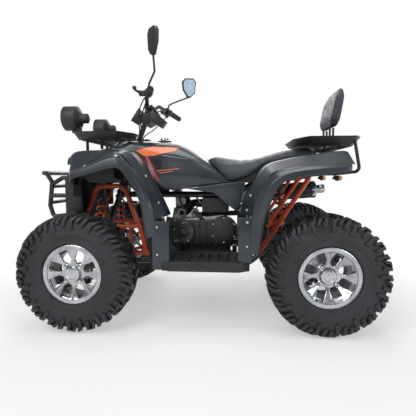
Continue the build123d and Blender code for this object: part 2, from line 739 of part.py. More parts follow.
def make_rear_fender():
    inner = seat_half + gap
    half = rear_fender_half

    def line(drop, start):
        return [(0, start), (drop * 0.1, 350), (drop, half)]

    fender = skin([
        leg_section((rear(-108), 858), (0, -1), line(60, inner), panel_wall),
        leg_section((rear(-78), 876), (0, -1), line(74, inner), panel_wall),
        leg_section((rear(90), 852), (0, -1), line(58, inner), panel_wall),
        leg_section((rear(255), 818), (-0.2, -0.98), line(50, inner), panel_wall),
        leg_section((rear(300), 790), (-0.6, -0.8), line(46, inner + 30), panel_wall),
        leg_section((rear(350), 700), (-0.92, -0.39), line(44, inner + 60), panel_wall),
        leg_section((rear(390), 632), (-0.97, -0.24), line(46, inner + 70), panel_wall),
        leg_section((rear(412), 563), (-0.99, -0.1), line(62, inner + 70), panel_wall),
    ])
    deck = block((rear(-104), -inner - 3, rear_deck_z - panel_wall), (rear(-12), inner + 3, rear_deck_z))
    save("rear_fender", fender + mirrored(fender) + deck)


def make_rear_flares():
    edge = rear_fender_half + gap
    lines = [((rear(-94), 806), (rear(-88), 766)), ((rear(90), 798), (rear(86), 748)),
             ((rear(225), 776), (rear(216), 731)), ((rear(285), 738), (rear(250), 684)),
             ((rear(335), 660), (rear(278), 604)), ((rear(356), 565), (rear(300), 545)),
             ((rear(356), 460), (rear(312), 452)), ((rear(357), 372), (rear(320), 382))]
    shares = [0.80, 1, 1, 0.85, 0.70, 0.50, 0.40, 0.35]
    flare = skin([flare_station(u, l, edge, rear_fender_half + (share - 0.10) * rear_flare_reach,
                                rear_fender_half + share * rear_flare_reach, panel_wall)
                  for (u, l), share in zip(lines, shares)])
    save("rear_flares", flare, mirrored(flare))


def make_footboards():
    boards, guards = [], []
    back, ahead = middle(-236), middle(180)
    for side in (1, -1):
        outline = [(ahead - 18, footboard_in), (ahead, footboard_in + 30), (ahead, footboard_out - 30),
                   (ahead - 30, footboard_out), (back + 50, footboard_out), (back, footboard_out - 34),
                   (back, footboard_in + 30), (back + 18, footboard_in)]
        outline = [(x, side * y) for x, y in outline]
        board = plan_plate(outline, footboard_z - footboard_thick, footboard_z)
        low, high = sorted((side * (footboard_in + 16), side * (footboard_out - 16)))
        board -= block((back + 24, low, footboard_z - 16), (ahead - 24, high, footboard_z + 1))
        for i in range(7):
            x = back + 60 + 48 * i
            board += block((x, low - 1, footboard_z - 17), (x + 10, high + 1, footboard_z - 6))
        bracket_low, bracket_high = sorted((side * (rail_y + rail_radius + gap), side * (footboard_in + 4)))
        for x in (middle(-178), middle(126)):
            board += block((x, bracket_low, footboard_z - footboard_thick),
                           (x + 30, bracket_high, footboard_z - 26))
            rail_side = rail_y + rail_radius
            grip_low, grip_high = sorted((side * (rail_side + gap), side * (rail_side + 5)))
            board += block((x, grip_low, rail_z - 8), (x + 30, grip_high, footboard_z - 26))
        boards.append(board)
        top = footboard_z + gap
        front_guard = [(middle(145), footboard_out), (middle(226), footboard_out),
                       (middle(239), footboard_out - 12),
                       (middle(239), 208), (middle(232), 208), (middle(232), footboard_out - 16),
                       (middle(222), footboard_out - 7), (middle(145), footboard_out - 7)]
        outer = rear_fender_half
        rear_guard = [(middle(-179), outer), (middle(-246), outer), (middle(-250), outer - 6),
                      (middle(-250), 208), (middle(-243), 208), (middle(-243), outer - 10),
                      (middle(-240), outer - 7), (middle(-179), outer - 7)]
        guard = plan_plate([(x, side * y) for x, y in front_guard], top, 532)
        low, high = sorted((side * 200, side * (footboard_out + 10)))
        toe = plan_plate([(x, side * y) for x, y in front_guard], 300, top + 1)
        toe &= block((ahead + gap, low, 290), (ahead + 80, high, 400))
        guards.append(guard + toe)
        guards.append(plan_plate([(x, side * y) for x, y in rear_guard], top, 552))
    save("footboards", *boards)
    save("foot_guards", *guards)


# Front end
nose_x = front(148)


def make_radiator_grille():
    core = block((front(60), -250, 560), (nose_x, 250, 745))
    for i in range(7):
        z = 580 + 22 * i
        core -= block((nose_x - 14, -200, z), (nose_x + 1, 200, z + 12))
    core -= block((front(59), -230, 559), (front(100), -117, 746))
    core -= block((front(59), 117, 559), (front(100), 230, 746))
    chin = block((front(92), -250, 500), (nose_x, 250, 559))
    shroud = side_plate([(front(62), 745), (front(62), 860), (front(-118), 860), (front(-118), 712),
                         (front(0), 712)], 245.6, 250)
    save("radiator_grille", core + chin + shroud + mirrored(shroud))


def make_headlights():
    lamp = plan_plate([(front(84), 250 + gap), (front(100), 250 + gap), (front(92), 300), (front(46), 398),
                       (front(36), 384), (front(78), 300)], 700, 744)
    lamp += plan_plate([(front(84), 262), (front(100), 262), (front(92), 300), (front(46), 398),
                        (front(36), 384), (front(78), 300)], 743, 796)
    save("headlights", lamp, mirrored(lamp))


def make_front_bumper():
    y = 200.0
    radius = 12.0
    pieces = []
    for side in (1, -1):
        s = side * y
        pieces.append(tube([(front(bumper_reach - 26), s, 763), (front(245), s, 713), (front(261), s, 585),
                            (front(243), s, 523), (nose_x + 3, s, 534)], radius, 24))
        pieces.append(tube([(front(248), s, 700), (front(183), s, 738), (nose_x + 3, s, 734)], radius, 30))
        pieces.append(rod((front(250), s, 640), (nose_x + 3, s, 640), radius))
        for z in (534, 640, 734):
            pieces.append(rod((nose_x + gap, s, z), (nose_x + gap + 5, s, z), 19))
    across = [rod((front(bumper_reach) - radius, -y, 763), (front(bumper_reach) - radius, y, 763), radius),
              rod((front(261), -y, 600), (front(261), y, 600), radius - 2),
              rod((front(248), -y, 690), (front(248), y, 690), radius - 2)]
    bumper = pieces[0]
    for piece in pieces[1:] + across:
        bumper += piece
    for side in (1, -1):
        bumper += rod((front(bumper_reach - 30), side * y, 762),
                      (front(bumper_reach) - radius, side * y, 763), radius)
    save("front_bumper", bumper)


# Racks, lamps and backrest
def rack(outline, high_z, thick, bevel, slats, pocket, raised):
    """A deck with a deep bevelled rim, hollow below its middle and cut through between its slats."""
    face = make_face(Polyline(*[(x, y, high_z) for x, y in outline], close=True))
    deck = Solid.extrude_taper(face.face(), (0, 0, -thick), bevel)
    deck -= block(*pocket)
    deck += block(*raised)
    for low, high in slats:
        deck -= block((*low, high_z - thick - 1), (*high, high_z + rack_raise + 1))
    return deck


rack_half = 300.0
front_rack_z = 976.0
front_rack_thick = 40.0
rack_raise = 3.0            # a rack's slatted middle above its rim
rack_deck_thick = 25.0
rack_pocket_half = 250.0
rear_rack_z = 941.0
rear_rack_thick = 46.0
slat_pitch = 38.0
slat_gap = 22.0
hoop_radius = 8.0


def make_front_rack():
    back, ahead = front(-219), front(89)
    outline = [(ahead, 40 - rack_half), (ahead, rack_half - 40), (ahead - 50, rack_half),
               (back + 60, rack_half), (back, 190), (back, -190), (back + 60, -rack_half),
               (ahead - 50, -rack_half)]
    slats = []
    for i in range(5):
        x = ahead - 81 - slat_pitch * i
        for low, high in ((50 - rack_half, -20), (20, rack_half - 50)):
            slats.append(((x - slat_gap, low), (x, high)))
    slats.append(((back - 5, -112), (front(-144), 112)))
    under = front_rack_z - rack_deck_thick
    pocket = ((back - 1, -rack_pocket_half, under - 50), (ahead - 40, rack_pocket_half, under))
    raised = ((front(-162), -240, under + 1), (front(28), 240, front_rack_z + rack_raise))
    deck = rack(outline, front_rack_z, front_rack_thick, 32, slats, pocket, raised)
    for side in (1, -1):
        for x, foot in ((front(60), rack_foot_front + 1.6), (hood_bend_x, rack_foot_back + 3.6)):
            deck += rod((x, side * 150, foot + gap), (x, side * 150, under + 5), 8)
    save("front_rack", deck)


def make_rear_rack():
    back, ahead = rear(-196), rear(126)
    outline = [(ahead, -160), (ahead, 160), (ahead - 58, rack_half), (back + 40, rack_half), (back, 230),
               (back, -230), (back + 40, -rack_half), (ahead - 58, -rack_half)]
    slats = []
    for i in (0, 1, 2, 4):
        x = rear(27) - slat_pitch * i
        for low, high in ((52 - rack_half, -20), (20, rack_half - 52)):
            slats.append(((x - slat_gap, low), (x, high)))
    under = rear_rack_z - rack_deck_thick
    pocket = ((back + 50, -rack_pocket_half, under - 50), (ahead + 1, rack_pocket_half, under))
    raised = ((rear(-70), -240, under + 1), (rear(70), 240, rear_rack_z + rack_raise))
    deck = rack(outline, rear_rack_z, rear_rack_thick, 40, slats, pocket, raised)
    inside = under + 5
    for side in (1, -1):
        deck += rod((rear(-41), side * 140, rear_deck_z + gap), (rear(-41), side * 140, inside), 8)
        for x in (rear(-84), rear(-102)):
            deck += rod((x, side * 70, inside), (x, side * 70, pad_z - gap), 6)
    hoop_top = rear_rack_z - 11
    hoop = tube([(rear(-156), 262, hoop_top), (rear(-184), 270, 769), (rear(-89), 200, 757),
                 (rear(-89), -200, 757), (rear(-184), -270, 769), (rear(-156), -262, hoop_top)],
                hoop_radius, 24)
    save("rear_rack", deck + hoop)


def make_backrest():
    def level(ahead, ahead_z, back, back_z, half):
        return [(rear(ahead), -half, ahead_z), (rear(ahead), half, ahead_z),
                (rear(back), half, back_z), (rear(back), -half, back_z)]

    pad = skin([
        level(-70, pad_z, -112, pad_z, 120),
        level(-66, 1050, -122, 1045, 150),
        level(-92, 1170, -144, 1166, 150),
        level(-122, 1219, -148, 1212, 110),
    ])
    save("backrest_pad", pad)


def make_work_lamps():
    housings, lenses = [], []
    for side in (1, -1):
        y, z = side * 212, 1053
        profile = [(148, 0), (148, 64), (80, 64), (62, 34), (54, 26), (28, 26), (24, 20), (24, 0)]
        face = make_face(Polyline(*[(front(a), y, z + r) for a, r in profile], close=True))
        body = revolve(face, axis=Axis((front(0), y, z), (1, 0, 0)))
        body -= rod((front(140), y, z), (front(150), y, z), 58)
        stand = block((front(66), y - 12, 976 + gap), (front(112), y + 12, 1010))
        housings.append(body + stand)
        lenses.append(rod((front(140 + gap), y, z), (front(144), y, z), 57.5))
    save("work_lamps", *housings)
    save("lamp_lenses", *lenses)


# Engine and what hangs on it
def make_engine():
    block_body = block((middle(-140), -108, 292), (middle(122), 146, 468))
    engine = block_body
    lean = math.radians(22)
    base = (middle(84), 0, 455)
    axis = Vector(math.sin(lean), 0, math.cos(lean))
    engine += Solid.make_cylinder(44, 165, Plane(origin=Vector(*base), z_dir=axis))
    for i in range(7):
        low = Vector(*base) + axis * (36 + 16 * i)
        plane = Plane(origin=low, z_dir=axis, x_dir=(math.cos(lean), 0, -math.sin(lean)))
        engine += extrude(plane * Rectangle(116, 116), 7)
    skid = block((middle(-150), -82, 280), (middle(140), 82, 293))
    engine += skid
    for x in (middle(-130), middle(90)):
        for side in (1, -1):
            low, high = sorted((side * (rail_y - 12), side * (rail_y + 6)))
            engine += block((x, low, rail_z + rail_radius + gap), (x + 24, high, 294))
    save("engine", engine)
    front_circle, back_circle = (middle(113), 443, 62), (middle(-105), 458, 72)
    case = hull_case(front_circle, back_circle, 146 + gap, 206)
    dome = rod((back_circle[0], 205, back_circle[1]), (back_circle[0], 222, back_circle[1]), 56)
    save("belt_case", case + dome)


def hull_case(first, second, low_y, high_y):
    """A case around two round covers."""
    (x1, z1, r1), (x2, z2, r2) = first, second
    case = rod((x1, low_y, z1), (x1, high_y, z1), r1) + rod((x2, low_y, z2), (x2, high_y, z2), r2)
    between = [(x1, z1 - r1), (x1, z1 + r1), (x2, z2 + r2 - 18), (x2, z2 - r2)]
    return case + side_plate(between, low_y, high_y - 14)


def make_air_box():
    box = block((middle(-128), -60, 548), (middle(16), 150, 640 - spine_radius - gap))
    throat = rod((middle(10), 20, 590), (middle(62), 20, 590), 24)
    save("air_box", box + throat)


def make_exhaust():
    y = -226.0
    pipe = tube([(middle(128), -58 - gap, 552), (middle(128), -100, 552), (middle(150), -165, 500),
                 (middle(-280), -165, 520),
                 (middle(-350), y, 640), (middle(-420), y, 650)], 17, 22)
    body = rod((middle(-380), y, 640), (middle(-668), y, 664), 52)
    tail = rod((middle(-660), y, 664), (middle(-724), y, 672), 24)
    save("exhaust", pipe + body + tail)


def make_shocks():
    solids = []
    low = shock_seat_z + 10.5
    for start, end in (((front(16), shock_y, low), (front(-24), 136, shock_top_z)),
                       ((front(16), -shock_y, low), (front(-24), -136, shock_top_z)),
                       ((middle(-430), 0, 366.6), (middle(-419), 0, 728.2))):
        solids.append(shock(start, end))
    save("shocks", *solids)


def shock(start, end):
    """A damper in its spring, drawn as rings on a tube."""
    line = Vector(*end) - Vector(*start)
    profile = [(0, 0), (0, 10), (24, 10), (24, 27)]
    coils = 9
    spring = line.length - 84
    for i in range(coils):
        a = 24 + spring * i / coils
        profile += [(a + 3, 30), (a + 9, 30), (a + spring / coils * 0.6, 22), (a + spring / coils * 0.9, 22)]
    profile += [(24 + spring, 28), (34 + spring, 28), (34 + spring, 20), (line.length - 12, 20),
                (line.length - 12, 9), (line.length, 9), (line.length, 0)]
    plane = Plane(origin=start, z_dir=line)
    face = make_face(Polyline(*[plane.from_local_coords((r, 0, a)) for a, r in profile], close=True))
    return revolve(face, axis=Axis(start, tuple(line)))


def make_tail_light():
    bar = block((rear(-118), -110, 776), (rear(-97.4), 110, 830))
    pods = []
    for side in (1, -1):
        pods.append(rod((rear(-128), side * 170, 734.6), (rear(-80), side * 170, 734.6), 14))
    save("tail_light", bar, *pods)


os.makedirs("parts", exist_ok=True)
make_wheels()
make_rear_axle()
make_swingarm()
make_frames()
make_suspension_arms()
make_knuckles()
make_tie_rods()
make_steering_column()
bar_line = make_handlebar()
make_controls(bar_line)
make_dash_pod()
make_mirrors(bar_line)
make_front_bodywork()
make_front_flares()
make_tank_cover()
make_seat()
make_side_panels()
make_rear_fender()
make_rear_flares()
make_footboards()
make_radiator_grille()
make_headlights()
make_front_bumper()
make_front_rack()
make_rear_rack()
make_backrest()
make_work_lamps()
make_engine()
make_air_box()
make_exhaust()
make_shocks()
make_tail_light()
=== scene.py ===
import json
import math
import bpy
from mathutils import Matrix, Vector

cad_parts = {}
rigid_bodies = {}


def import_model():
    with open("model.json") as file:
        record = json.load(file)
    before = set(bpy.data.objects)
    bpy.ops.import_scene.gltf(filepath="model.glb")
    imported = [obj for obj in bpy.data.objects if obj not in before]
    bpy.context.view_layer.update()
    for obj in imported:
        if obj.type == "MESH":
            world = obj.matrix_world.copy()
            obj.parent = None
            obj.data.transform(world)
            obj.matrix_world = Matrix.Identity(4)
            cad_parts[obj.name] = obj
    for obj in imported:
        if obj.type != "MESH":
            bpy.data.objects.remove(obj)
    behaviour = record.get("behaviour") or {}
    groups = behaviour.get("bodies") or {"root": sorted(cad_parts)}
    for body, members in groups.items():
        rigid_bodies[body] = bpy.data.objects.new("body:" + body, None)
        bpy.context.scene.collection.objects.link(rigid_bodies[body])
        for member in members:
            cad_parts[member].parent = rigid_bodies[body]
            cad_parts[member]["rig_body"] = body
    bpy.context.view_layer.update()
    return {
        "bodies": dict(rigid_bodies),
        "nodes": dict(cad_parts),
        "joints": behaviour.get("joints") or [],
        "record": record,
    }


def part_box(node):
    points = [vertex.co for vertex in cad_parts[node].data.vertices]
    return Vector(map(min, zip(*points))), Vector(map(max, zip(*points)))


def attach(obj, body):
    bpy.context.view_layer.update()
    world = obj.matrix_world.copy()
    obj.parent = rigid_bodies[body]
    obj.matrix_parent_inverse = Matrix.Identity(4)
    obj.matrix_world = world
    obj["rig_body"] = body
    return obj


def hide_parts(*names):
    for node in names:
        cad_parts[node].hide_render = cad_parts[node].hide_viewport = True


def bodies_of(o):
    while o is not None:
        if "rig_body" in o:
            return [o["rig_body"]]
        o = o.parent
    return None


bl_info = {
    "name": "Quad bike",
    "version": (1, 0, 0),
    "blender": (4, 5, 0),
    "location": "3D view > Sidebar > Quad bike",
    "description": "Dresses the quad bike's solids with tread, padding, trim and finishes",
    "category": "Object",
}

import bpy
from bpy.props import FloatProperty, FloatVectorProperty, IntProperty, PointerProperty
from mathutils import Matrix, Vector

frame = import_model()
nodes = frame["nodes"]


def middle_of(node):
    low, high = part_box(node)
    return (Vector(low) + Vector(high)) / 2


# Places taken from the solids
front_hub = middle_of("rim_front_left")
rear_low, rear_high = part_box("tyre_rear_left")
rear_hub = (Vector(rear_low) + Vector(rear_high)) / 2
mid_x = (front_hub.x + rear_hub.x) / 2
wheel_radius = front_hub.z
front_half = (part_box("tyre_front_left")[1][1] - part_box("tyre_front_left")[0][1]) / 2
rear_half = (rear_high[1] - rear_low[1]) / 2
SIDES = ((1, "left"), (-1, "right"))


def F(mm):
    """X in metres, from millimetres ahead of the front axle."""
    return front_hub.x + mm / 1000


def R(mm):
    """X in metres, from millimetres ahead of the rear axle."""
    return rear_hub.x + mm / 1000


def M(mm):
    """X in metres, from millimetres ahead of the middle of the wheelbase."""
    return mid_x + mm / 1000


# Sizes and colours
class QuadSizes(bpy.types.PropertyGroup):
    lug_count: IntProperty(name="Lugs", description="Lugs around one side of a tyre", default=17, min=12,
                           max=24)
    lug_height: FloatProperty(name="Lug height", description="How far the lugs stand off the tread",
                              default=0.016, unit="LENGTH")
    panel_wall: FloatProperty(name="Panel wall", description="Thickness of the moulded panels",
                              default=0.005, unit="LENGTH")
    pad_puff: FloatProperty(name="Padding", description="Pressure that fills the seat and the backrest",
                            default=3.0)
    bolt_radius: FloatProperty(name="Bolt head", description="Radius of the panel bolts' heads",
                               default=0.0065, unit="LENGTH")


class QuadColours(bpy.types.PropertyGroup):
    body: FloatVectorProperty(name="Bodywork", description="Moulded panels", subtype="COLOR", size=3,
                              default=(0.017, 0.023, 0.032))
    accent: FloatVectorProperty(name="Frame", description="Powder coat of the loops and struts",
                                subtype="COLOR", size=3, default=(0.66, 0.085, 0.018))
    stripe: FloatVectorProperty(name="Stripe", description="Painted stripe on the tank cover",
                                subtype="COLOR", size=3, default=(0.80, 0.17, 0.05))
    black: FloatVectorProperty(name="Black parts", description="Tubes, racks and castings",
                               subtype="COLOR", size=3, default=(0.014, 0.015, 0.017))
    rubber: FloatVectorProperty(name="Rubber", description="Tyres and grips", subtype="COLOR", size=3,
                                default=(0.017, 0.019, 0.022))
    cover: FloatVectorProperty(name="Seat cover", description="Leatherette of the seat and backrest",
                               subtype="COLOR", size=3, default=(0.024, 0.030, 0.040))


def sizes():
    return bpy.context.scene.quad_sizes


def colours():
    return bpy.context.scene.quad_colours


# Shader nodes
class Value:
    """A socket whose sums, products and comparisons add Math nodes."""

    def __init__(self, finish, socket):
        self.finish = finish
        self.socket = socket

    def math(self, operation, *others):
        sockets = {f"i{i}": value for i, value in enumerate(others)}
        return self.finish.node("Math", {"operation": operation}, **sockets)

    def __add__(self, other):
        return self.math("ADD", self, other)

    def __sub__(self, other):
        return self.math("SUBTRACT", self, other)

    def __rsub__(self, other):
        return self.math("SUBTRACT", other, self)

    def __mul__(self, other):
        return self.math("MULTIPLY", self, other)

    def __lt__(self, other):
        return self.math("LESS_THAN", self, other)

    def most(self, other):
        return self.math("MAXIMUM", self, other)

    def between(self, low, high, first=0.0, last=1.0):
        """From first to last as the value goes from low to high, held beyond them."""
        return self.finish.node("MapRange", {"interpolation_type": "SMOOTHSTEP"},
                                i0=self, i1=low, i2=high, i3=first, i4=last)

    __radd__ = __add__
    __rmul__ = __mul__


class Finish:
    """A material and the nodes that it is made of."""

    def __init__(self, name, colour, roughness, metal=0.0, **plain):
        self.material = bpy.data.materials.new(name)
        self.material.use_nodes = True
        self.tree = self.material.node_tree
        self.shader = self.tree.nodes["Principled BSDF"]
        self.material.diffuse_color = (*colour, 1) if isinstance(colour, tuple) else (0.1, 0.1, 0.1, 1)
        self.set("Base Color", colour)
        self.set("Roughness", roughness)
        self.set("Metallic", metal)
        for socket, value in plain.items():
            self.set(socket.replace("_", " "), value)

    def link(self, value, socket):
        if isinstance(value, Value):
            self.tree.links.new(value.socket, socket)
        elif isinstance(value, (tuple, list, Vector)):
            socket.default_value = tuple(value) + (1.0,) * (len(socket.default_value) - len(value))
        else:
            socket.default_value = value

    def set(self, socket, value):
        self.link(value, self.shader.inputs[socket])
        return self

    def node(self, kind, settings=None, out=0, **sockets):
        """Any node: its settings first, then its sockets by place (i0, i1) or by name."""
        node = self.tree.nodes.new(f"ShaderNode{kind}")
        for key, value in (settings or {}).items():
            setattr(node, key, value)
        for key, value in sockets.items():
            numbered = key[0] == "i" and key[1:].isdigit()
            self.link(value, node.inputs[int(key[1:]) if numbered else key.replace("_", " ")])
        return Value(self, node.outputs[out])

    def place(self):
        """Object coordinates X, Y and Z."""
        here = self.node("TexCoord", out=3)
        return [self.node("SeparateXYZ", out=i, i0=here) for i in range(3)]

    def noise(self, scale, detail=2.0, roughness=0.5):
        here = self.node("TexCoord", out=3)
        return self.node("TexNoise", i0=here, Scale=scale, Detail=detail, Roughness=roughness)

    def cells(self, scale, feature="F1"):
        here = self.node("TexCoord", out=3)
        return self.node("TexVoronoi", {"feature": feature}, i0=here, Scale=scale)

    def mix(self, share, first, second):
        """From the first colour to the second."""
        node = self.tree.nodes.new("ShaderNodeMix")
        node.data_type = "RGBA"
        for value, socket in ((share, node.inputs[0]), (first, node.inputs[6]), (second, node.inputs[7])):
            self.link(value, socket)
        return Value(self, node.outputs[2])

    def bump(self, height, distance, strength):
        return self.set("Normal", self.node("Bump", Strength=strength, Distance=distance, Height=height))

    def cloudy(self, noise, span, first, second):
        """A base colour that drifts between two."""
        return self.set("Base Color", self.mix(self.noise(*noise).between(*span), first, second))

    def worn(self, noise, span, first, last):
        """A roughness that drifts between two."""
        return self.set("Roughness", self.noise(*noise).between(*span, first, last))


def scaled(colour, factor):
    return tuple(min(1.0, c * factor) for c in colour)


def inside(x, z, corners):
    """One inside a convex outline drawn from the side, corners anticlockwise as seen from the left side."""
    mask = None
    for (ax, az), (bx, bz) in zip(corners, corners[1:] + corners[:1]):
        run, rise = bx - ax, bz - az
        edge = (x - ax) * rise - (z - az) * run
        keep = edge < 0.0
        mask = keep if mask is None else mask * keep
    return mask


finishes = {}


def make_finishes():
    """Every finish, by name."""
    tint = colours()
    body, black, rubber, cover = (tuple(c) for c in (tint.body, tint.black, tint.rubber, tint.cover))

    def moulded(name, base, rough, grain, coat):
        f = Finish(name, base, rough, Coat_Weight=coat, Coat_Roughness=0.16)
        z = f.place()[2]
        cloud = f.noise(6.0, 3.0)
        f.set("Base Color", f.mix(cloud.between(0.35, 0.7), scaled(base, 0.82), scaled(base, 1.3)))
        dust = (1 - z.between(0.25, 0.85)) * f.noise(38.0, 4.0).between(0.45, 0.7)
        f.set("Roughness", (cloud * 0.12 + (rough - 0.06)) + dust * 0.12)
        return f.bump(f.cells(grain), 0.0003, 0.22)

    finishes["body"] = moulded("body_plastic", body, 0.34, 700.0, 0.35)
    finishes["black_plastic"] = moulded("black_plastic", scaled(black, 1.25), 0.52, 900.0, 0.0)

    f = finishes["tank"] = moulded("tank_plastic", body, 0.30, 700.0, 0.45)
    x, y, z = f.place()
    stripe = inside(x, z, [(M(359), 0.880), (M(287), 0.908), (M(144), 0.904), (M(163), 0.885),
                           (M(278), 0.854), (M(321), 0.854)])
    trail = inside(x, z, [(M(316), 0.853), (M(302), 0.853), (M(240), 0.722), (M(251), 0.722)])
    # Painted shade: the vent's dark opening is drawn as a near-black patch on the smooth cover.
    vent_shade = inside(x, z, [(M(288), 0.838), (M(229), 0.836), (M(232), 0.783), (M(252), 0.783)])
    pale = inside(x, z, [(M(226), 0.860), (M(93), 0.8395), (M(93), 0.838), (M(226), 0.8570)])
    pale = pale.most(inside(x, z, [(M(222), 0.832), (M(222), 0.829), (M(93), 0.8385), (M(93), 0.8395)]))
    thin = inside(x, z, [(M(255), 0.776), (M(137), 0.788), (M(137), 0.785), (M(255), 0.772)])
    thin = thin.most(inside(x, z, [(M(242), 0.764), (M(169), 0.774), (M(169), 0.771), (M(242), 0.760)]))
    base = f.mix(f.noise(6.0, 3.0).between(0.35, 0.7), scaled(body, 0.8), scaled(body, 1.25))
    # The near-black over the vent is painted shade, not a colour of the cover.
    layers = ((vent_shade, (0.004, 0.004, 0.005)), (pale, (0.40, 0.38, 0.38)), (trail, (0.50, 0.045, 0.05)),
              (thin.most(stripe), tuple(tint.stripe)))
    for mask, colour in layers:
        base = f.mix(mask, base, colour)
    f.set("Base Color", base)

    accent = tuple(tint.accent)
    f = finishes["frame"] = Finish("frame_paint", accent, 0.36, Coat_Weight=0.3, Coat_Roughness=0.2)
    f.cloudy((14.0, 4.0), (0.4, 0.75), accent, scaled(accent, 0.72)).bump(f.noise(420.0), 0.0004, 0.25)

    f = finishes["black_paint"] = Finish("black_paint", black, 0.32, Coat_Weight=0.2, Coat_Roughness=0.25)
    f.worn((20.0, 4.0), (0.3, 0.8), 0.26, 0.46).bump(f.noise(500.0), 0.0003, 0.2)

    f = finishes["engine"] = Finish("engine_black", scaled(black, 1.5), 0.42)
    f.cloudy((46.0, 6.0, 0.65), (0.56, 0.74), scaled(black, 1.4), (0.07, 0.07, 0.072))
    f.worn((60.0, 4.0), (0.3, 0.8), 0.34, 0.6).bump(f.noise(260.0, 5.0, 0.6), 0.0012, 0.5)

    f = finishes["cast"] = Finish("cast_alloy", (0.30, 0.31, 0.32), 0.45, 0.85)
    f.cloudy((40.0, 5.0), (0.4, 0.75), (0.34, 0.35, 0.36), (0.13, 0.13, 0.135))
    f.bump(f.noise(300.0, 4.0), 0.0008, 0.5)

    f = finishes["tyre"] = Finish("tyre_rubber", rubber, 0.62)
    dusty = f.noise(9.0, 5.0, 0.6).between(0.42, 0.72)
    f.set("Base Color", f.mix(dusty, scaled(rubber, 0.75), scaled(rubber, 1.9)))
    f.set("Roughness", dusty.between(0.0, 1.0, 0.50, 0.74))
    f.bump(f.noise(180.0, 5.0, 0.6), 0.0012, 0.4)

    f = finishes["alloy"] = Finish("machined_alloy", (0.50, 0.51, 0.53), 0.26, 1.0)
    f.cloudy((12.0, 4.0), (0.35, 0.75), (0.55, 0.56, 0.58), (0.36, 0.37, 0.39))
    f.worn((70.0, 3.0), (0.3, 0.7), 0.20, 0.34).bump(f.noise(300.0), 0.0001, 0.08)

    f = finishes["alloy_dark"] = Finish("rim_barrel", (0.30, 0.31, 0.33), 0.38, 1.0)
    f.worn((50.0, 3.0), (0.3, 0.7), 0.3, 0.5)

    f = finishes["steel"] = Finish("zinc_steel", (0.46, 0.47, 0.48), 0.32, 1.0)
    f.cloudy((60.0, 5.0), (0.45, 0.75), (0.52, 0.53, 0.54), (0.26, 0.25, 0.24))
    f.worn((120.0, 4.0), (0.3, 0.7), 0.24, 0.45)

    f = finishes["chrome"] = Finish("polished_steel", (0.52, 0.53, 0.55), 0.16, 1.0)
    f.worn((80.0, 3.0), (0.3, 0.8), 0.12, 0.24)

    f = finishes["seat"] = Finish("seat_cover", cover, 0.46)
    grain = f.cells(520.0, "DISTANCE_TO_EDGE")
    f.cloudy((8.0, 3.0), (0.35, 0.7), scaled(cover, 0.85), scaled(cover, 1.3))
    f.worn((30.0, 3.0), (0.3, 0.75), 0.40, 0.56)
    f.bump(grain.between(0.0, 0.25) + f.noise(900.0) * 0.3, 0.0006, 0.45)

    f = finishes["grip"] = Finish("grip_rubber", scaled(rubber, 0.9), 0.7)
    f.bump(f.cells(420.0), 0.0006, 0.5)

    f = finishes["lens"] = Finish("lamp_glass", (0.40, 0.43, 0.47), 0.1, Alpha=0.26)
    f.worn((40.0,), (0.3, 0.7), 0.06, 0.14)

    f = finishes["mirror"] = Finish("mirror_glass", (0.17, 0.22, 0.28), 0.2, 0.5)
    f.worn((30.0,), (0.3, 0.7), 0.16, 0.24)

    for name, colour in (("red", (0.42, 0.010, 0.008)), ("amber", (0.75, 0.20, 0.01))):
        f = finishes[name] = Finish(f"{name}_lens", colour, 0.15, Coat_Weight=0.6)
        f.bump(f.cells(160.0), 0.0008, 0.35)


# Modelling
def alone(obj=None):
    """Nothing selected but the one given, which becomes active."""
    if bpy.context.object and bpy.context.object.mode != "OBJECT":
        bpy.ops.object.mode_set(mode="OBJECT")
    bpy.ops.object.select_all(action="DESELECT")
    if obj:
        obj.select_set(True)
        bpy.context.view_layer.objects.active = obj
    return obj


def shape(obj, *steps):
    """Edit-mode operators on the whole mesh, each as a name and its settings."""
    alone(obj)
    bpy.ops.object.mode_set(mode="EDIT")
    for name, settings in steps:
        bpy.ops.mesh.select_all(action="SELECT")
        getattr(bpy.ops.mesh, name)(**settings)
    bpy.ops.object.mode_set(mode="OBJECT")
    return obj


def tidy(obj, distance=1e-5):
    """Doubles merged and all faces turned outwards."""
    return shape(obj, ("remove_doubles", {"threshold": distance}),
                 ("dissolve_degenerate", {"threshold": 1e-6}),
                 ("normals_make_consistent", {"inside": False}))


def modify(obj, kind, **settings):
    """A modifier, applied at once."""
    alone(obj)
    bpy.ops.object.modifier_add(type=kind)
    change = obj.modifiers[-1]
    for key, value in settings.items():
        setattr(change, key, value)
    bpy.ops.object.modifier_apply(modifier=change.name)
    return obj


def softened(obj, width, segments=2, angle=35):
    return modify(obj, "BEVEL", width=width, segments=segments, limit_method="ANGLE",
                  angle_limit=math.radians(angle), use_clamp_overlap=True)


def join(name, pieces):
    """Several objects made one."""
    alone()
    for piece in pieces:
        piece.select_set(True)
    bpy.context.view_layer.objects.active = pieces[0]
    if len(pieces) > 1:
        bpy.ops.object.join()
    pieces[0].name = name
    return pieces[0]


def cuboid(low, high, bevel=0.002):
    """A block between two corners, its edges rounded."""
    low, high = Vector(low), Vector(high)
    alone()
    bpy.ops.mesh.primitive_cube_add(size=1, location=(low + high) / 2, scale=[abs(d) for d in high - low])
    obj = bpy.context.object
    bpy.ops.object.transform_apply(location=True, rotation=True, scale=True)
    return softened(obj, bevel) if bevel else obj


def turned(profile, centre, axis, steps=48):
    """A closed profile of distances along an axis and radii, spun round it."""
    alone()
    axis = Vector(axis).normalized()
    bpy.ops.mesh.primitive_circle_add(vertices=len(profile), fill_type="NOTHING")
    obj = bpy.context.object
    side = axis.orthogonal().normalized()
    for vertex, (a, r) in zip(obj.data.vertices, profile):
        vertex.co = Vector(centre) + axis * a + side * r
    shape(obj, ("spin", {"steps": steps, "angle": 2 * math.pi, "center": tuple(centre),
                         "axis": tuple(axis)}))
    return tidy(obj, 1e-6)


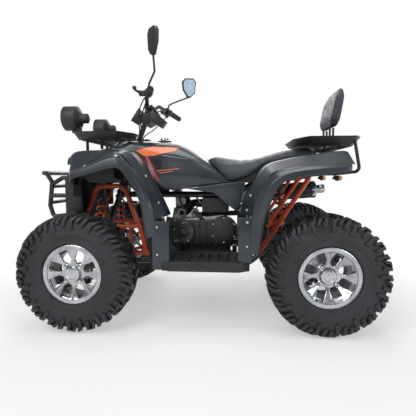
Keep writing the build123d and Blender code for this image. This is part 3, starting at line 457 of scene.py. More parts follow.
def rod(start, end, radius, steps=24, bevel=0.0015):
    """A round bar with softened ends."""
    line = Vector(end) - Vector(start)
    reach, b = line.length, min(bevel, radius / 2)
    return turned([(0, 0), (0, radius - b), (b, radius), (reach - b, radius), (reach, radius - b),
                   (reach, 0)], start, line, steps)


def bolt(place, out, radius=None):
    """A hex bolt head with its washer, standing out from a surface."""
    radius = radius or sizes().bolt_radius
    place, out = Vector(place), Vector(out).normalized()
    ring = turned([(-0.001, 0), (-0.001, radius * 1.45), (0.0012, radius * 1.45), (0.0018, radius * 1.2),
                   (0.0018, 0)], place, out, 20)
    head = turned([(0.0015, 0), (0.0015, radius), (0.0050, radius), (0.0062, radius * 0.75), (0.0062, 0)],
                  place, out, 6)
    return join("bolt", [painted(ring, "black_plastic"), painted(head, "steel")])


def wire(points, radius, steps=10, order=4, radii=None):
    """A round cable or bent bar on a smooth curve through guide points."""
    alone()
    bpy.ops.curve.primitive_nurbs_path_add()
    obj = bpy.context.object
    obj.location = (0, 0, 0)
    curve = obj.data
    curve.splines.clear()
    spline = curve.splines.new("NURBS")
    spline.points.add(len(points) - 1)
    for i, (point, place) in enumerate(zip(spline.points, points)):
        point.co = (*place, 1)
        point.radius = radii[i] if radii else 1
    spline.order_u = min(order, len(points))
    spline.use_endpoint_u = True
    spline.resolution_u = 6
    curve.bevel_depth = radius
    curve.bevel_resolution = max(1, steps // 4)
    curve.use_fill_caps = True
    alone(obj)
    bpy.ops.object.convert(target="MESH")
    return tidy(bpy.context.object, 1e-6)


def sheet_of(rows, out, wall, levels=2):
    """A panel through rows of points in millimetres, with its wall on the inner side, smoothed."""
    alone()
    count, across = len(rows), len(rows[0])
    bpy.ops.mesh.primitive_grid_add(x_subdivisions=across - 1, y_subdivisions=count - 1, size=2)
    obj = bpy.context.object
    order = sorted(obj.data.vertices, key=lambda v: (round(v.co.y, 5), round(v.co.x, 5)))
    for vertex, place in zip(order, [p for row in rows for p in row]):
        vertex.co = Vector(place) / 1000
    obj.data.update()
    if sum(face.area * face.normal.dot(Vector(out)) for face in obj.data.polygons) < 0:
        shape(obj, ("flip_normals", {}))
    modify(obj, "SOLIDIFY", thickness=wall, offset=-1, use_even_offset=True, edge_crease_rim=0.85)
    return modify(obj, "SUBSURF", levels=levels, render_levels=levels)


def mirrored(obj):
    """A copy on the other side, its faces still outwards."""
    alone(obj)
    bpy.ops.object.duplicate()
    twin = bpy.context.object
    twin.data.transform(Matrix.Diagonal((1, -1, 1, 1)))
    twin.data.flip_normals()
    return twin


def copied(obj, move):
    """A copy with its own mesh, moved by a matrix."""
    alone(obj)
    bpy.ops.object.duplicate()
    twin = bpy.context.object
    twin.data.transform(move)
    return twin


def copy_of(node):
    """A solid's mesh as one piece, its doubles merged."""
    alone(nodes[node])
    bpy.ops.object.duplicate()
    obj = bpy.context.object
    bpy.ops.object.parent_clear(type="CLEAR_KEEP_TRANSFORM")
    for key in [k for k in obj.keys() if k.startswith("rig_")]:
        del obj[key]
    return shape(obj, ("remove_doubles", {"threshold": 1e-6}))


def painted(obj, *names):
    """A mesh with these finishes and no others."""
    obj.data.materials.clear()
    for finish in names:
        obj.data.materials.append(finishes[finish].material)
    return obj


def piece(made, name, finish, slot, replaces=(), smooth=40, body="chassis"):
    """The last steps for a piece: parts joined, name, finish, shading, and the body that it rides on."""
    obj = join(name, made) if isinstance(made, list) else made
    alone(obj)
    bpy.ops.object.transform_apply(location=True, rotation=True, scale=True)
    obj.name = name
    obj.data.name = name
    if finish:
        painted(obj, finish)
    bpy.ops.object.shade_smooth_by_angle(angle=math.radians(smooth))
    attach(obj, body)
    if replaces:
        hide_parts(*replaces)
    return obj


def body_of(node):
    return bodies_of(nodes[node])[0]


# Stage
CAMERA_PLACE = (mid_x - 0.1678, 2.0829, 0.7392)
CAMERA_AXES = ((-0.99697, -0.07800, -0.0003), (0.0064, -0.0859, 0.9963), (-0.0777, 0.9932, 0.0861))
CAMERA_LENS = 30.64


class QUAD_OT_stage(bpy.types.Operator):
    """Camera, floor, lamps and a pale surrounding"""
    bl_idname = "quad.stage"
    bl_label = "Stage"

    def execute(self, context):
        alone()
        bpy.ops.object.camera_add(location=CAMERA_PLACE)
        camera = context.object
        turn = Matrix(CAMERA_AXES).transposed()
        camera.rotation_euler = turn.to_euler()
        camera.data.lens = CAMERA_LENS
        camera.data.sensor_width = 36
        camera.data.clip_end = 60
        context.scene.camera = camera
        for name, place, size, power, colour in (
                ("key", (1.8, 3.4, 3.4), 2.4, 105, (1.0, 0.99, 0.97)),
                ("side", (-3.2, 2.4, 2.0), 2.0, 46, (0.93, 0.96, 1.0)),
                ("back", (0.3, -3.6, 3.2), 3.0, 80, (1, 1, 1)),
                ("top", (0, 0.2, 4.6), 2.6, 75, (1, 1, 1))):
            bpy.ops.object.light_add(type="AREA", location=place)
            lamp = context.object
            lamp.name = name
            lamp.data.energy, lamp.data.size, lamp.data.color = power, size, colour
            aim = Vector((0, 0, 0.55)) - Vector(place)
            lamp.rotation_euler = aim.to_track_quat("-Z", "Y").to_euler()
        bpy.ops.mesh.primitive_plane_add(size=60, location=(0, 0, -0.0005))
        floor = context.object
        floor.name = "floor"
        f = Finish("floor", (0.86, 0.86, 0.86), 0.6)
        shader = f.shader
        out = f.tree.nodes["Material Output"]
        path = [f.node("LightPath", out=i) for i in (0, 3)]
        x, y, z = f.place()
        near = (x * x + y * y).between(0.9, 3.2)
        white = f.node("Emission", i0=(1, 1, 1), i1=1.0)
        blend = f.node("MixShader", i0=(path[0].most(path[1])) * near.between(0.0, 1.0, 0.45, 1.0),
                       i1=Value(f, shader.outputs[0]), i2=white)
        f.tree.links.new(blend.socket, out.inputs[0])
        floor.data.materials.append(f.material)
        self.surroundings(context)
        context.scene.view_settings.view_transform = "Standard"
        return {"FINISHED"}

    def surroundings(self, context):
        world = bpy.data.worlds.new("studio")
        context.scene.world = world
        world.use_nodes = True
        tree = world.node_tree
        back = tree.nodes["Background"]
        path = tree.nodes.new("ShaderNodeLightPath")
        seen = tree.nodes.new("ShaderNodeMath")
        seen.operation = "MAXIMUM"
        tree.links.new(path.outputs["Is Camera Ray"], seen.inputs[0])
        tree.links.new(path.outputs["Is Transmission Ray"], seen.inputs[1])
        strength = tree.nodes.new("ShaderNodeMapRange")
        strength.inputs["To Min"].default_value = 0.30
        strength.inputs["To Max"].default_value = 1.0
        tree.links.new(seen.outputs[0], strength.inputs["Value"])
        back.inputs["Color"].default_value = (1, 1, 1, 1)
        tree.links.new(strength.outputs[0], back.inputs["Strength"])


NODE_FINISH = {
    "frame": "frame_front frame_rear",
    "black_paint": "frame_main front_bumper suspension_arms swingarm rear_rack handlebar steering_column "
                   "exhaust shocks",
    "black_plastic": "radiator_grille front_rack work_lamps footboards hand_controls dash_pod mirrors "
                     "air_box",
    "body": "front_bodywork front_flares side_panels rear_fender rear_flares foot_guards",
    "tank": "tank_cover",
    "seat": "seat backrest_pad",
    "engine": "engine belt_case",
    "tyre": "tyre_front_left tyre_front_right tyre_rear_left tyre_rear_right",
    "alloy": "rim_front_left rim_front_right rear_rims",
    "steel": "knuckle_left knuckle_right tie_rod_left tie_rod_right rear_axle",
    "grip": "grips",
    "lens": "lamp_lenses headlights",
    "mirror": "mirror_glass",
    "red": "tail_light",
}


class QUAD_OT_finishes(bpy.types.Operator):
    """Every finish, and one on each solid"""
    bl_idname = "quad.finishes"
    bl_label = "Finishes"

    def execute(self, context):
        make_finishes()
        for finish, names in NODE_FINISH.items():
            for name in names.split():
                painted(nodes[name], finish)
        return {"FINISHED"}


def crisp(node, bevel, segments):
    """A solid's own shape, its flat faces whole and its edges softened."""
    obj = shape(copy_of(node), ("dissolve_limited", {"angle_limit": math.radians(0.6)}))
    return softened(obj, bevel, segments)


# Wheels
BEAD = 0.1415                      # radius of the rim's lip, where the tyre starts
FRONT_RIM = (0.075, 0.020)         # half width, and how far the spokes' faces lie in from the edge
REAR_RIM = (0.106, 0.044)


def section_at(points, u):
    """A point along a polyline, counted in its corners."""
    i = min(int(u), len(points) - 2)
    t = u - i
    return tuple(a + t * (b - a) for a, b in zip(points[i], points[i + 1]))


def tread_block(half, first, last, start_turn, end_turn, start_wide, end_wide):
    """One block of the tread on the left half of a tyre at the origin, bent round its shoulder."""
    r, low = wheel_radius, wheel_radius - sizes().lug_height - 0.003
    tops = [(0.0, r), (0.3 * half, r - 0.0004), (half - 0.034, r - 0.0030), (half - 0.014, r - 0.0095),
            (half - 0.004, r - 0.0235), (half - 0.0008, r - 0.046), (half - 0.0015, r - 0.070)]
    roots = [(0.0, low), (0.3 * half, low - 0.0004), (half - 0.036, low - 0.0040),
             (half - 0.022, low - 0.0085), (half - 0.014, low - 0.0150), (half - 0.0085, r - 0.048),
             (half - 0.0085, r - 0.070)]
    alone()
    bpy.ops.mesh.primitive_cube_add(size=2)
    obj = shape(bpy.context.object, ("bevel", {"offset": 0.16, "segments": 1}),
                ("subdivide", {"number_cuts": 2}))
    for vertex in obj.data.vertices:
        along, across, up = vertex.co
        share = (along + 1) / 2
        u = first + share * (last - first)
        top, root = section_at(tops, u), section_at(roots, u)
        a, radius = (root[i] + (up + 1) / 2 * (top[i] - root[i]) for i in (0, 1))
        wide = (start_wide + share * (end_wide - start_wide)) * (1.0 - 0.10 * up)
        angle = start_turn + share * (end_turn - start_turn) + across * wide / wheel_radius
        vertex.co = (radius * math.sin(angle), a, radius * math.cos(angle))
    return obj


def tyre_mesh(half, rim_half):
    """A tyre at the origin: carcass with sidewall rings, and a ring of forked lugs on each half."""
    bead = rim_half - 0.0064
    r = wheel_radius
    root = r - sizes().lug_height
    wall = [(bead, 0.1275), (bead, BEAD), (half * 0.90, 0.1475), (half * 0.925, 0.1485),
            (half * 0.945, 0.1535), (half * 0.93, 0.1575), (half - 0.0085, 0.182), (half - 0.0075, 0.196),
            (half - 0.0062, 0.1985), (half - 0.0075, 0.201), (half - 0.0085, 0.2225),
            (half - 0.012, 0.240), (half - 0.022, root - 0.010), (half - 0.036, root - 0.0035),
            (0.3 * half, root - 0.0005)]
    wall = wall + [(-a, q) for a, q in reversed(wall)]
    carcass = turned(wall, (0, 0, 0), (0, 1, 0), 96)
    turn = 2 * math.pi / sizes().lug_count
    blocks = [
        tread_block(half, 0.05, 2.3, 0.0, 0.10, 0.0165, 0.0135),
        tread_block(half, 2.15, 5.3, 0.065, 0.13, 0.0085, 0.0105),
        tread_block(half, 2.15, 4.6, 0.150, 0.245, 0.0085, 0.0100),
        tread_block(half, 1.2, 4.0, 0.235, 0.305, 0.0080, 0.0075),
        tread_block(half, 3.2, 6.0, 0.330, 0.345, 0.0080, 0.0110),
    ]
    lugs = join("lugs", blocks)
    steps = sizes().lug_count - 1
    shape(lugs, ("spin", {"steps": steps, "dupli": True, "angle": turn * steps, "center": (0, 0, 0),
                          "axis": (0, 1, 0)}))
    other = copied(lugs, Matrix.Rotation(turn / 2, 4, "Y") @ Matrix.Diagonal((1, -1, 1, 1)))
    other.data.flip_normals()
    return join("tyre", [carcass, lugs, other])


class QUAD_OT_tyres(bpy.types.Operator):
    """Four tyres with forked lugs that run over the shoulders"""
    bl_idname = "quad.tyres"
    bl_label = "Tyres"

    def execute(self, context):
        for place, half, rim_half, node in ((front_hub, front_half, FRONT_RIM[0], "tyre_front"),
                                            (rear_hub, rear_half, REAR_RIM[0], "tyre_rear")):
            made = tyre_mesh(half, rim_half)
            for side, word in SIDES:
                name = f"{node}_{word}"
                tyre = copied(made, Matrix.Translation((place.x, middle_of(name).y, place.z)) @
                              Matrix.Rotation(0.0 if side > 0 else math.pi, 4, "Z"))
                piece(tyre, f"{name}_rubber", "tyre", "tyre", (name,), 35, body_of(name))
            bpy.data.objects.remove(made)
        return {"FINISHED"}


STUDS = 4
STUD_RADIUS = 0.0475
VALVE_RADIUS = 0.119


def rim_trim(side, centre, half, dish):
    """Rolled lip, centre cap, nuts and valve of one rim; positions count from the wheel's middle."""
    out = Vector((0, side, 0))
    face = half - dish
    parts = [painted(turned([(half - 0.0135, 0.1262), (half - 0.0135, 0.1415), (half - 0.004, 0.1424),
                             (half - 0.0005, 0.1415), (half + 0.0008, 0.1385), (half - 0.0004, 0.1355),
                             (half - 0.006, 0.1345), (half - 0.0085, 0.1262)], centre, out, 96), "alloy")]
    parts.append(painted(turned([(face + 0.008, 0), (face + 0.008, 0.037), (face + 0.016, 0.0365),
                                 (face + 0.019, 0.034), (face + 0.0205, 0.024), (face + 0.0185, 0.022),
                                 (face + 0.0195, 0.010), (face + 0.0215, 0.0)], centre, out, 48), "chrome"))
    for i in range(STUDS):
        turn = math.radians(45 + 360 / STUDS * i)
        spot = centre + Vector((STUD_RADIUS * math.cos(turn), side * (face - 0.001),
                                STUD_RADIUS * math.sin(turn)))
        parts.append(painted(turned([(0, 0), (0, 0.0115), (0.002, 0.0118), (0.004, 0.0090), (0.018, 0.0086),
                                     (0.021, 0.0055), (0.021, 0)], spot, out, 12), "chrome"))
    stem = centre + Vector((VALVE_RADIUS * math.sin(0.5), side * (half - 0.020),
                            -VALVE_RADIUS * math.cos(0.5)))
    parts.append(painted(rod(stem, stem + out * 0.024, 0.0042, 12), "black_plastic"))
    return parts


class QUAD_OT_rims(bpy.types.Operator):
    """Rims with machined spokes, dark windows, lips, caps and nuts"""
    bl_idname = "quad.rims"
    bl_label = "Rims"

    def execute(self, context):
        for node, (half, dish), body in (("rim_front_left", FRONT_RIM, "wheel_front_left"),
                                         ("rim_front_right", FRONT_RIM, "wheel_front_right"),
                                         ("rear_rims", REAR_RIM, "rear_axle")):
            obj = crisp(node, 0.0012, 1)
            painted(obj, "alloy", "alloy_dark")
            rear = node == "rear_rims"
            hub = rear_hub if rear else front_hub
            tyre_y = middle_of("tyre_rear_left" if rear else "tyre_front_left").y
            for face in obj.data.polygons:
                side = 1 if face.center.y > 0 else -1
                a = side * face.center.y - tyre_y
                r = math.hypot(face.center.x - hub.x, face.center.z - hub.z)
                machined = side * face.normal.y > 0.35 and a > half - dish - 0.004
                face.material_index = 0 if machined or r > 0.128 and a > 0 else 1
            piece(obj, f"{node}_wheel", None, "alloy", (node,), 30, body)
            sides = SIDES if rear else [s for s in SIDES if node.endswith(s[1])]
            for side, word in sides:
                centre = Vector((hub.x, side * tyre_y, hub.z))
                name = f"{node}_{word}_trim" if rear else f"{node}_trim"
                piece(rim_trim(side, centre, half, dish), name, None, "alloy", body=body)
        return {"FINISHED"}


# Bodywork
def mm(frame, x):
    """Millimetres along X in the shared frame, from one of the three starting points."""
    return frame(x) * 1000


def leg_row(frame, anchor, into, drop, across):
    """Points over one section of a fender: fractions of its drop at each distance from the middle."""
    (x, z), (dx, dz) = anchor, into
    return [(mm(frame, x) + s * drop * dx, y, z + s * drop * dz) for y, s in across]


# Sections of a flare: its upper line, its lower edge and how far it reaches out
FRONT_FLARE = (((19, 772), (1, 735), 494), ((-95, 822), (-105, 762), 499), ((-180, 862), (-196, 790), 500),
               ((-212, 860), (-228, 786), 500), ((-234, 838), (-246, 770), 498),
               ((-280, 786), (-272, 732), 495), ((-322, 741), (-306, 682), 491),
               ((-362, 655), (-326, 624), 482), ((-382, 573), (-333, 566), 470),
               ((-384, 505), (-333, 508), 464), ((-372, 451), (-346, 451), 456))
REAR_FLARE = (((-94, 806), (-88, 766), 472), ((0, 802), (0, 754), 478), ((90, 798), (86, 748), 480),
              ((225, 776), (216, 731), 480), ((285, 738), (250, 684), 474), ((335, 660), (278, 604), 468),
              ((356, 565), (300, 545), 460), ((356, 460), (312, 452), 456), ((357, 372), (320, 382), 454))
EDGE_ROLL = 3                      # the lower edge turns in by this much
FRONT_BOLTS = ((530, 789), (380, 834), (264, 745), (204, 617), (185, 548))
REAR_BOLTS = ((-353, 775), (-506, 801), (-640, 806), (-239, 654), (-222, 584))
GUARD_BOLTS = ((202, 374), (202, 505), (-222, 416), (-222, 530))


def flare_rows(frame, edge, sections):
    """Points over each section of a flare, from its upper line to its lower edge."""
    rows = []
    for (ux, uz), (lx, lz), reach in sections:
        rows.append([(mm(frame, ux + s * (lx - ux)), y, uz + s * (lz - uz)) for s, y in (
            (0, edge), (0.08, edge + 0.22 * (reach - edge)), (0.39, reach - 9), (0.45, reach - 6),
            (0.51, reach - 5), (0.94, reach), (1.0, reach - EDGE_ROLL))])
    return rows


def both(rows, out):
    """A panel on the left and its twin on the right."""
    left = sheet_of(rows, out, sizes().panel_wall)
    return [left, mirrored(left)]


class QUAD_OT_front_body(bpy.types.Operator):
    """Hood, front fenders and their flares"""
    bl_idname = "quad.front_body"
    bl_label = "Front bodywork"

    def execute(self, context):
        rows = []
        for x, centre, shoulder, edge, low in ((108, 850, 848, 840, 800), (98, 862, 860, 850, 804),
                                               (60, 884, 881, 870, 820), (-22, 895, 891, 871, 820),
                                               (-122, 940, 934, 877, 830)):
            half = [(300, low), (299, edge - 16), (291, edge - 3), (270, edge + 1), (150, shoulder)]
            rows.append([(mm(F, x), -y, z) for y, z in half] + [(mm(F, x), 0, centre)] +
                        [(mm(F, x), y, z) for y, z in reversed(half)])
        hood = sheet_of(rows, (0, 0, 1), sizes().panel_wall)
        across = ((300.4, 0), (340, 0.04), (382, 0.10), (389, 0.12), (395, 0.18), (443, 0.93), (450, 1.0))
        rows = []
        for (x, z), k, drop in (((94, 838), 0.48, 108), ((84, 856), 0.46, 104), ((58, 876), 0.40, 96),
                                ((-25, 878), 0.25, 66), ((-109, 877), 0.10, 38), ((-180, 875), 0.0, 14)):
            rows.append([(mm(F, x) - k * (y - 300), y, z - s * drop) for y, s in across])
        for anchor, into, drop in (((-236, 876), (0.2, -0.98), 26), ((-262, 862), (0.5, -0.86), 34),
                                   ((-311, 808), (0.75, -0.66), 31), ((-388, 659), (0.93, -0.37), 32),
                                   ((-440, 549), (0.98, -0.17), 60)):
            rows.append(leg_row(F, anchor, into, drop, across))
        piece([hood, *both(rows, (0, 0.3, 1))], "front_body_panels", "body", "body_plastic",
              ("front_bodywork",), 35)
        flares = piece(both(flare_rows(F, 450.4, FRONT_FLARE), (0, 1, 0.2)), "front_flare_panels", "body",
                       "body_plastic", ("front_flares",), 35)
        bolts_on(flares, "front_flare_bolts", FRONT_BOLTS)
        return {"FINISHED"}


def on_side(obj, x, z, side):
    """The outermost point of a piece at one place seen from its side, and the way that it faces."""
    found, place, normal, _ = obj.ray_cast(Vector((x, side * 1.0, z)), Vector((0, -side, 0)))
    return (place, normal) if found else (Vector((x, side * 0.4, z)), Vector((0, side, 0)))


def bolts_on(panel, name, spots):
    """Bolt heads on both sides of a piece, at places seen from the side, in millimetres."""
    heads = [bolt(*on_side(panel, M(x), z / 1000, side)) for x, z in spots for side in (1, -1)]
    piece(heads, name, None, "steel")


RAKE = math.radians(21)
COLUMN_AXIS = Vector((-math.sin(RAKE), 0, math.cos(RAKE)))
COLUMN_FOOT = Vector((F(52), 0, 0.322))
COLUMN_HOLE = 0.034                # radius of the opening in the tank cover
TANK_RIDGE = 2                     # the cover's middle stands this much higher

# Sections of the tank cover: starting point, top, foot, and half widths on the way down
TANK_SECTIONS = ((F, (-121, 938), (-121, 884), (150, 236, 280, 290)),
                 (F, (-190, 946), (-190, 862), (136, 222, 262, 288)),
                 (F, (-269, 947), (-277, 784), (112, 200, 225, 250)),
                 (M, (247, 946), (225, 672), (100, 178, 205, 190)),
                 (M, (172, 944), (150, 670), (90, 170, 205, 188)),
                 (M, (88, 912), (30, 689), (82, 160, 196, 184)),
                 (M, (32, 870), (-84, 706), (72, 146, 182, 178)),
                 (M, (3, 848), (-124, 714), (60, 132, 168, 174)),
                 (M, (-4, 842), (-131, 709), (56, 128, 164, 170)),
                 (M, (-22, 826), (-148, 703), (50, 118, 156, 163)))


class QUAD_OT_tank(bpy.types.Operator):
    """Tank cover with the opening for the steering column"""
    bl_idname = "quad.tank"
    bl_label = "Tank cover"

    def execute(self, context):
        rows = []
        for frame, top, foot, (a, b, c, d) in TANK_SECTIONS:
            half = [(1.0, d), (0.94, d + 1.5), (0.65, c), (0.36, b + 3), (0.26, b - 4), (0.03, a + 4)]
            row = [(t, -y) for t, y in half] + [(0, 0)] + [(t, y) for t, y in reversed(half)]
            (ax, az), (bx, bz) = top, foot
            rows.append([(mm(frame, ax + t * (bx - ax)), y, az + t * (bz - az) + (0 if y else TANK_RIDGE))
                         for t, y in row])
        cover = sheet_of(rows, (0, 0, 1), sizes().panel_wall)
        cutter = rod(COLUMN_FOOT + COLUMN_AXIS * 0.3, COLUMN_FOOT + COLUMN_AXIS * 0.95, COLUMN_HOLE, 40)
        modify(cover, "BOOLEAN", object=cutter, operation="DIFFERENCE", solver="EXACT")
        bpy.data.objects.remove(cutter)
        piece(cover, "tank_cover_panel", "tank", "body_plastic", ("tank_cover",))
        return {"FINISHED"}


# Sections of the rear fenders: top line, the way that they fall, how far, and the inner edge
REAR_SECTIONS = (((-108, 858), (0, -1), 60, 178.6), ((-100, 868), (0, -1), 66, 178.6),
                 ((-78, 876), (0, -1), 74, 178.6), ((90, 852), (0, -1), 58, 178.6),
                 ((235, 823), (-0.12, -0.99), 51, 178.6), ((275, 808), (-0.4, -0.92), 48, 190),
                 ((306, 780), (-0.68, -0.73), 46, 212), ((350, 700), (-0.92, -0.39), 44, 238),
                 ((390, 632), (-0.97, -0.24), 46, 248), ((412, 563), (-0.99, -0.1), 62, 248))


class QUAD_OT_rear_body(bpy.types.Operator):
    """Rear fenders, their flares and the deck below the rack"""
    bl_idname = "quad.rear_body"
    bl_label = "Rear bodywork"

    def execute(self, context):
        rows = []
        for anchor, into, drop, start in REAR_SECTIONS:
            across = ((start, 0), ((start + 342) / 2, 0.04), (340, 0.09), (347, 0.11), (354, 0.18),
                      (433, 0.93), (440, 1.0))
            rows.append(leg_row(R, anchor, into, drop, across))
        deck = cuboid((R(-104), -0.182, 0.862), (R(-12), 0.182, 0.867), 0.0015)
        piece([*both(rows, (0, 0.3, 1)), deck], "rear_body_panels", "body", "body_plastic",
              ("rear_fender",), 35)
        flares = piece(both(flare_rows(R, 440.4, REAR_FLARE), (0, 1, 0.2)), "rear_flare_panels", "body",
                       "body_plastic", ("rear_flares",), 35)
        bolts_on(flares, "rear_flare_bolts", REAR_BOLTS)
        return {"FINISHED"}


class QUAD_OT_mouldings(bpy.types.Operator):
    """Parts whose own shape only needs its edges rounded"""
    bl_idname = "quad.mouldings"
    bl_label = "Mouldings"

    def execute(self, context):
        for finish, bevels in (
                ("body", {"side_panels": 0.004, "foot_guards": 0.0025}),
                ("black_plastic", {"footboards": 0.003, "front_rack": 0.003, "rear_rack": 0.003,
                                   "radiator_grille": 0.002, "dash_pod": 0.004, "hand_controls": 0.0025,
                                   "air_box": 0.006}),
                ("engine", {"engine": 0.003, "belt_case": 0.006}),
                ("black_plastic", {"work_lamps": 0.002, "headlights": 0.003, "mirrors": 0.004})):
            for node, bevel in bevels.items():
                piece(crisp(node, bevel, 2), f"{node}_moulding", finish, None, (node,), body=body_of(node))
        return {"FINISHED"}


PUFF_FRAMES = 20


def padded(node, scale, seams, thickness, rounds):
    """A solid rounded off and blown up like a filled cover, held along its seams."""
    obj = copy_of(node)
    centre = sum((v.co for v in obj.data.vertices), Vector()) / len(obj.data.vertices)
    shrink = Matrix.Diagonal((*scale, 1))
    obj.data.transform(Matrix.Translation(centre) @ shrink @ Matrix.Translation(-centre))
    modify(obj, "REMESH", mode="VOXEL", voxel_size=0.0055)
    modify(obj, "SMOOTH", factor=0.6, iterations=rounds)
    group = obj.vertex_groups.new(name="seams")
    for vertex in obj.data.vertices:
        held = max(seam(vertex.co) for seam in seams)
        if held > 0.02:
            group.add([vertex.index], min(1.0, held), "REPLACE")
    alone(obj)
    bpy.ops.object.modifier_add(type="CLOTH")
    cloth = obj.modifiers[-1]
    cloth.settings.use_pressure = True
    cloth.settings.uniform_pressure_force = sizes().pad_puff
    cloth.settings.effector_weights.gravity = 0
    cloth.settings.vertex_group_mass = "seams"
    cloth.point_cache.frame_start, cloth.point_cache.frame_end = 1, PUFF_FRAMES
    for number in range(1, PUFF_FRAMES + 1):
        bpy.context.scene.frame_set(number)
    before = [v.co.copy() for v in obj.data.vertices]
    bpy.ops.object.modifier_apply(modifier=cloth.name)
    bpy.context.scene.frame_set(1)
    for vertex, start in zip(obj.data.vertices, before):
        move = vertex.co - start
        if move.length > thickness:
            vertex.co = start + move * (thickness / move.length)
    modify(obj, "SMOOTH", factor=0.5, iterations=2)
    modify(obj, "SUBSURF", levels=1)
    return obj


def line_seam(place, width):
    """How firmly a seam holds: one on the line where the given distance is nought."""
    return lambda co: max(0.0, 1.0 - abs(place(co)) / width)


class QUAD_OT_seat(bpy.types.Operator):
    """Seat and backrest, padded and stitched"""
    bl_idname = "quad.seat"
    bl_label = "Seat and backrest"

    def execute(self, context):
        seams = (line_seam(lambda co: abs(co.y) - 0.150, 0.008),
                 line_seam(lambda co: co.x - M(-330) - 0.25 * abs(co.y) if abs(co.y) < 0.15 else 1.0,
                           0.008))
        seat = padded("seat", (0.988, 0.975, 0.94), seams, 0.008, 9)
        piece(seat, "seat_pad", "seat", "seat_cover", ("seat",), 60)
        low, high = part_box("backrest_pad")
        middle_z = (low[2] + high[2]) / 2
        seams = (line_seam(lambda co: abs(co.y) - 0.112, 0.007),
                 line_seam(lambda co: co.z - middle_z - 0.02 if abs(co.y) < 0.112 else 1.0, 0.007))
        back = padded("backrest_pad", (0.86, 0.98, 0.985), seams, 0.009, 36)
        piece(back, "backrest_cushion", "seat", "seat_cover", ("backrest_pad",), 60)
        return {"FINISHED"}


# Details
def at(x, y, z):
    """A place in metres, from millimetres ahead of the middle of the wheelbase, to the left and up."""
    return M(x), y / 1000, z / 1000


def slab(corners, low, high, bevel):
    """A plate with an outline drawn from the side, between two distances from the middle, in mm."""
    alone()
    bpy.ops.mesh.primitive_circle_add(vertices=len(corners), fill_type="NGON")
    obj = bpy.context.object
    for vertex, (x, z) in zip(obj.data.vertices, corners):
        vertex.co = at(x, low, z)
    shape(obj, ("extrude_region_move", {"TRANSFORM_OT_translate": {"value": (0, (high - low) / 1000, 0)}}))
    return softened(tidy(obj), bevel / 1000)


def screen(centre, across, up, wide, high, cells, wire_size):
    """A woven or punched screen: a slanted grid cut to its outline and given wires."""
    alone()
    bpy.ops.mesh.primitive_grid_add(x_subdivisions=cells[0], y_subdivisions=cells[1], size=2)
    obj = bpy.context.object
    shape(obj, ("poke", {}), ("tris_convert_to_quads", {"face_threshold": 3.1, "shape_threshold": 3.1}))
    across, up = Vector(across), Vector(up)
    for vertex in obj.data.vertices:
        a, b, _ = vertex.co
        vertex.co = Vector(centre) + across * (a * wide / 2) + up * (b * high / 2)
    modify(obj, "WIREFRAME", thickness=wire_size, use_even_offset=False)
    return obj


POINTS_PER_TURN = 10


def spring(start, end, radius, wire_radius, turns):
    """A coil spring between two points."""
    line = Vector(end) - Vector(start)
    side = line.orthogonal().normalized()
    other = line.normalized().cross(side)
    points = []
    count = turns * POINTS_PER_TURN
    for i in range(count + 1):
        turn = 2 * math.pi * i / POINTS_PER_TURN
        out = (side * math.cos(turn) + other * math.sin(turn)) * radius
        points.append(Vector(start) + line * (i / count) + out)
    return wire(points, wire_radius, 8)


class QUAD_OT_shocks(bpy.types.Operator):
    """Dampers with their coil springs"""
    bl_idname = "quad.shocks"
    bl_label = "Shock absorbers"

    def execute(self, context):
        parts = []
        for start, end in (((F(16), 0.262, 0.2305), (F(-24), 0.136, 0.674)),
                           ((F(16), -0.262, 0.2305), (F(-24), -0.136, 0.674)),
                           ((M(-430), 0, 0.3666), (M(-419), 0, 0.7282))):
            start, end = Vector(start), Vector(end)
            line, reach = (end - start).normalized(), (end - start).length
            damper = [(0, 0), (0, 0.010), (0.020, 0.011), (0.024, 0.029), (0.029, 0.030), (0.031, 0.021),
                      (reach * 0.5, 0.020), (reach * 0.5 + 0.004, 0.009), (reach - 0.070, 0.009),
                      (reach - 0.064, 0.029), (reach - 0.050, 0.030), (reach - 0.046, 0.020),
                      (reach - 0.014, 0.018), (reach - 0.012, 0.009), (reach, 0.009), (reach, 0)]
            parts.append(painted(turned(damper, start, line, 32), "black_paint"))
            parts.append(painted(spring(start + line * 0.032, end - line * 0.068, 0.0240, 0.0062,
                                        9 if reach > 0.4 else 8), "frame"))
        piece(parts, "shock_absorbers", None, "black_paint", ("shocks",))
        return {"FINISHED"}


